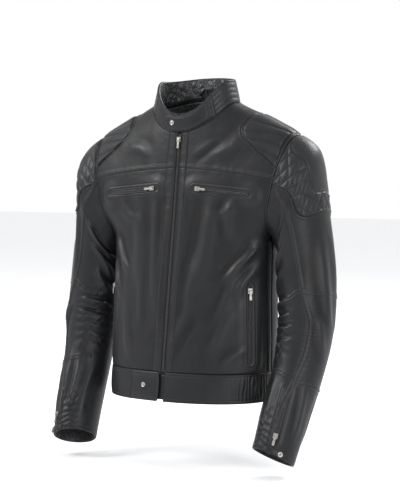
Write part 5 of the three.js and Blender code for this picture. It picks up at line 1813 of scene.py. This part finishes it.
class JACKET_OT_zips(bpy.types.Operator):
    """Make the front zip, the pocket zips and the cuff zips"""
    bl_idname = "jacket.zips"
    bl_label = "Zips"

    def execute(self, context):
        make_zips()
        return {"FINISHED"}


class JACKET_OT_hardware(bpy.types.Operator):
    """Make the zip sliders, their pulls and the snap studs"""
    bl_idname = "jacket.hardware"
    bl_label = "Metal parts"

    def execute(self, context):
        make_hardware()
        return {"FINISHED"}


class JACKET_OT_inside(bpy.types.Operator):
    """Make the body lining, the foam protectors and the hanger loop"""
    bl_idname = "jacket.inside"
    bl_label = "Inside"

    def execute(self, context):
        make_inside()
        return {"FINISHED"}


class JACKET_OT_stage(bpy.types.Operator):
    """Make the floor, the soft lights and the camera"""
    bl_idname = "jacket.stage"
    bl_label = "Stage"

    def execute(self, context):
        make_stage()
        return {"FINISHED"}


class JACKET_PT_panel(bpy.types.Panel):
    """Sizes, colours and buttons of the jacket"""
    bl_label = "Jacket"
    bl_idname = "JACKET_PT_panel"
    bl_space_type = "VIEW_3D"
    bl_region_type = "UI"
    bl_category = "Jacket"

    def draw(self, context):
        for settings in (context.scene.jacket_sizes, context.scene.jacket_look):
            for key in settings.__annotations__:
                self.layout.prop(settings, key)
        for operator in OPERATORS:
            self.layout.operator(operator.bl_idname)


OPERATORS = (JACKET_OT_fronts, JACKET_OT_back, JACKET_OT_waistband, JACKET_OT_collar, JACKET_OT_sleeves,
             JACKET_OT_pads, JACKET_OT_cuffs, JACKET_OT_zips, JACKET_OT_hardware, JACKET_OT_inside,
             JACKET_OT_stage)
CLASSES = (JacketSizes, JacketLook, *OPERATORS, JACKET_PT_panel)


def register():
    for made in CLASSES:
        bpy.utils.register_class(made)
    bpy.types.Scene.jacket_sizes = bpy.props.PointerProperty(type=JacketSizes)
    bpy.types.Scene.jacket_look = bpy.props.PointerProperty(type=JacketLook)


def unregister():
    del bpy.types.Scene.jacket_look
    del bpy.types.Scene.jacket_sizes
    for made in reversed(CLASSES):
        bpy.utils.unregister_class(made)


def main():
    register()
    bpy.ops.jacket.fronts()
    bpy.ops.jacket.back()
    bpy.ops.jacket.waistband()
    bpy.ops.jacket.collar()
    bpy.ops.jacket.sleeves()
    bpy.ops.jacket.pads()
    bpy.ops.jacket.cuffs()
    bpy.ops.jacket.zips()
    bpy.ops.jacket.hardware()
    bpy.ops.jacket.inside()
    bpy.ops.jacket.stage()


if __name__ == "__main__":
    main()
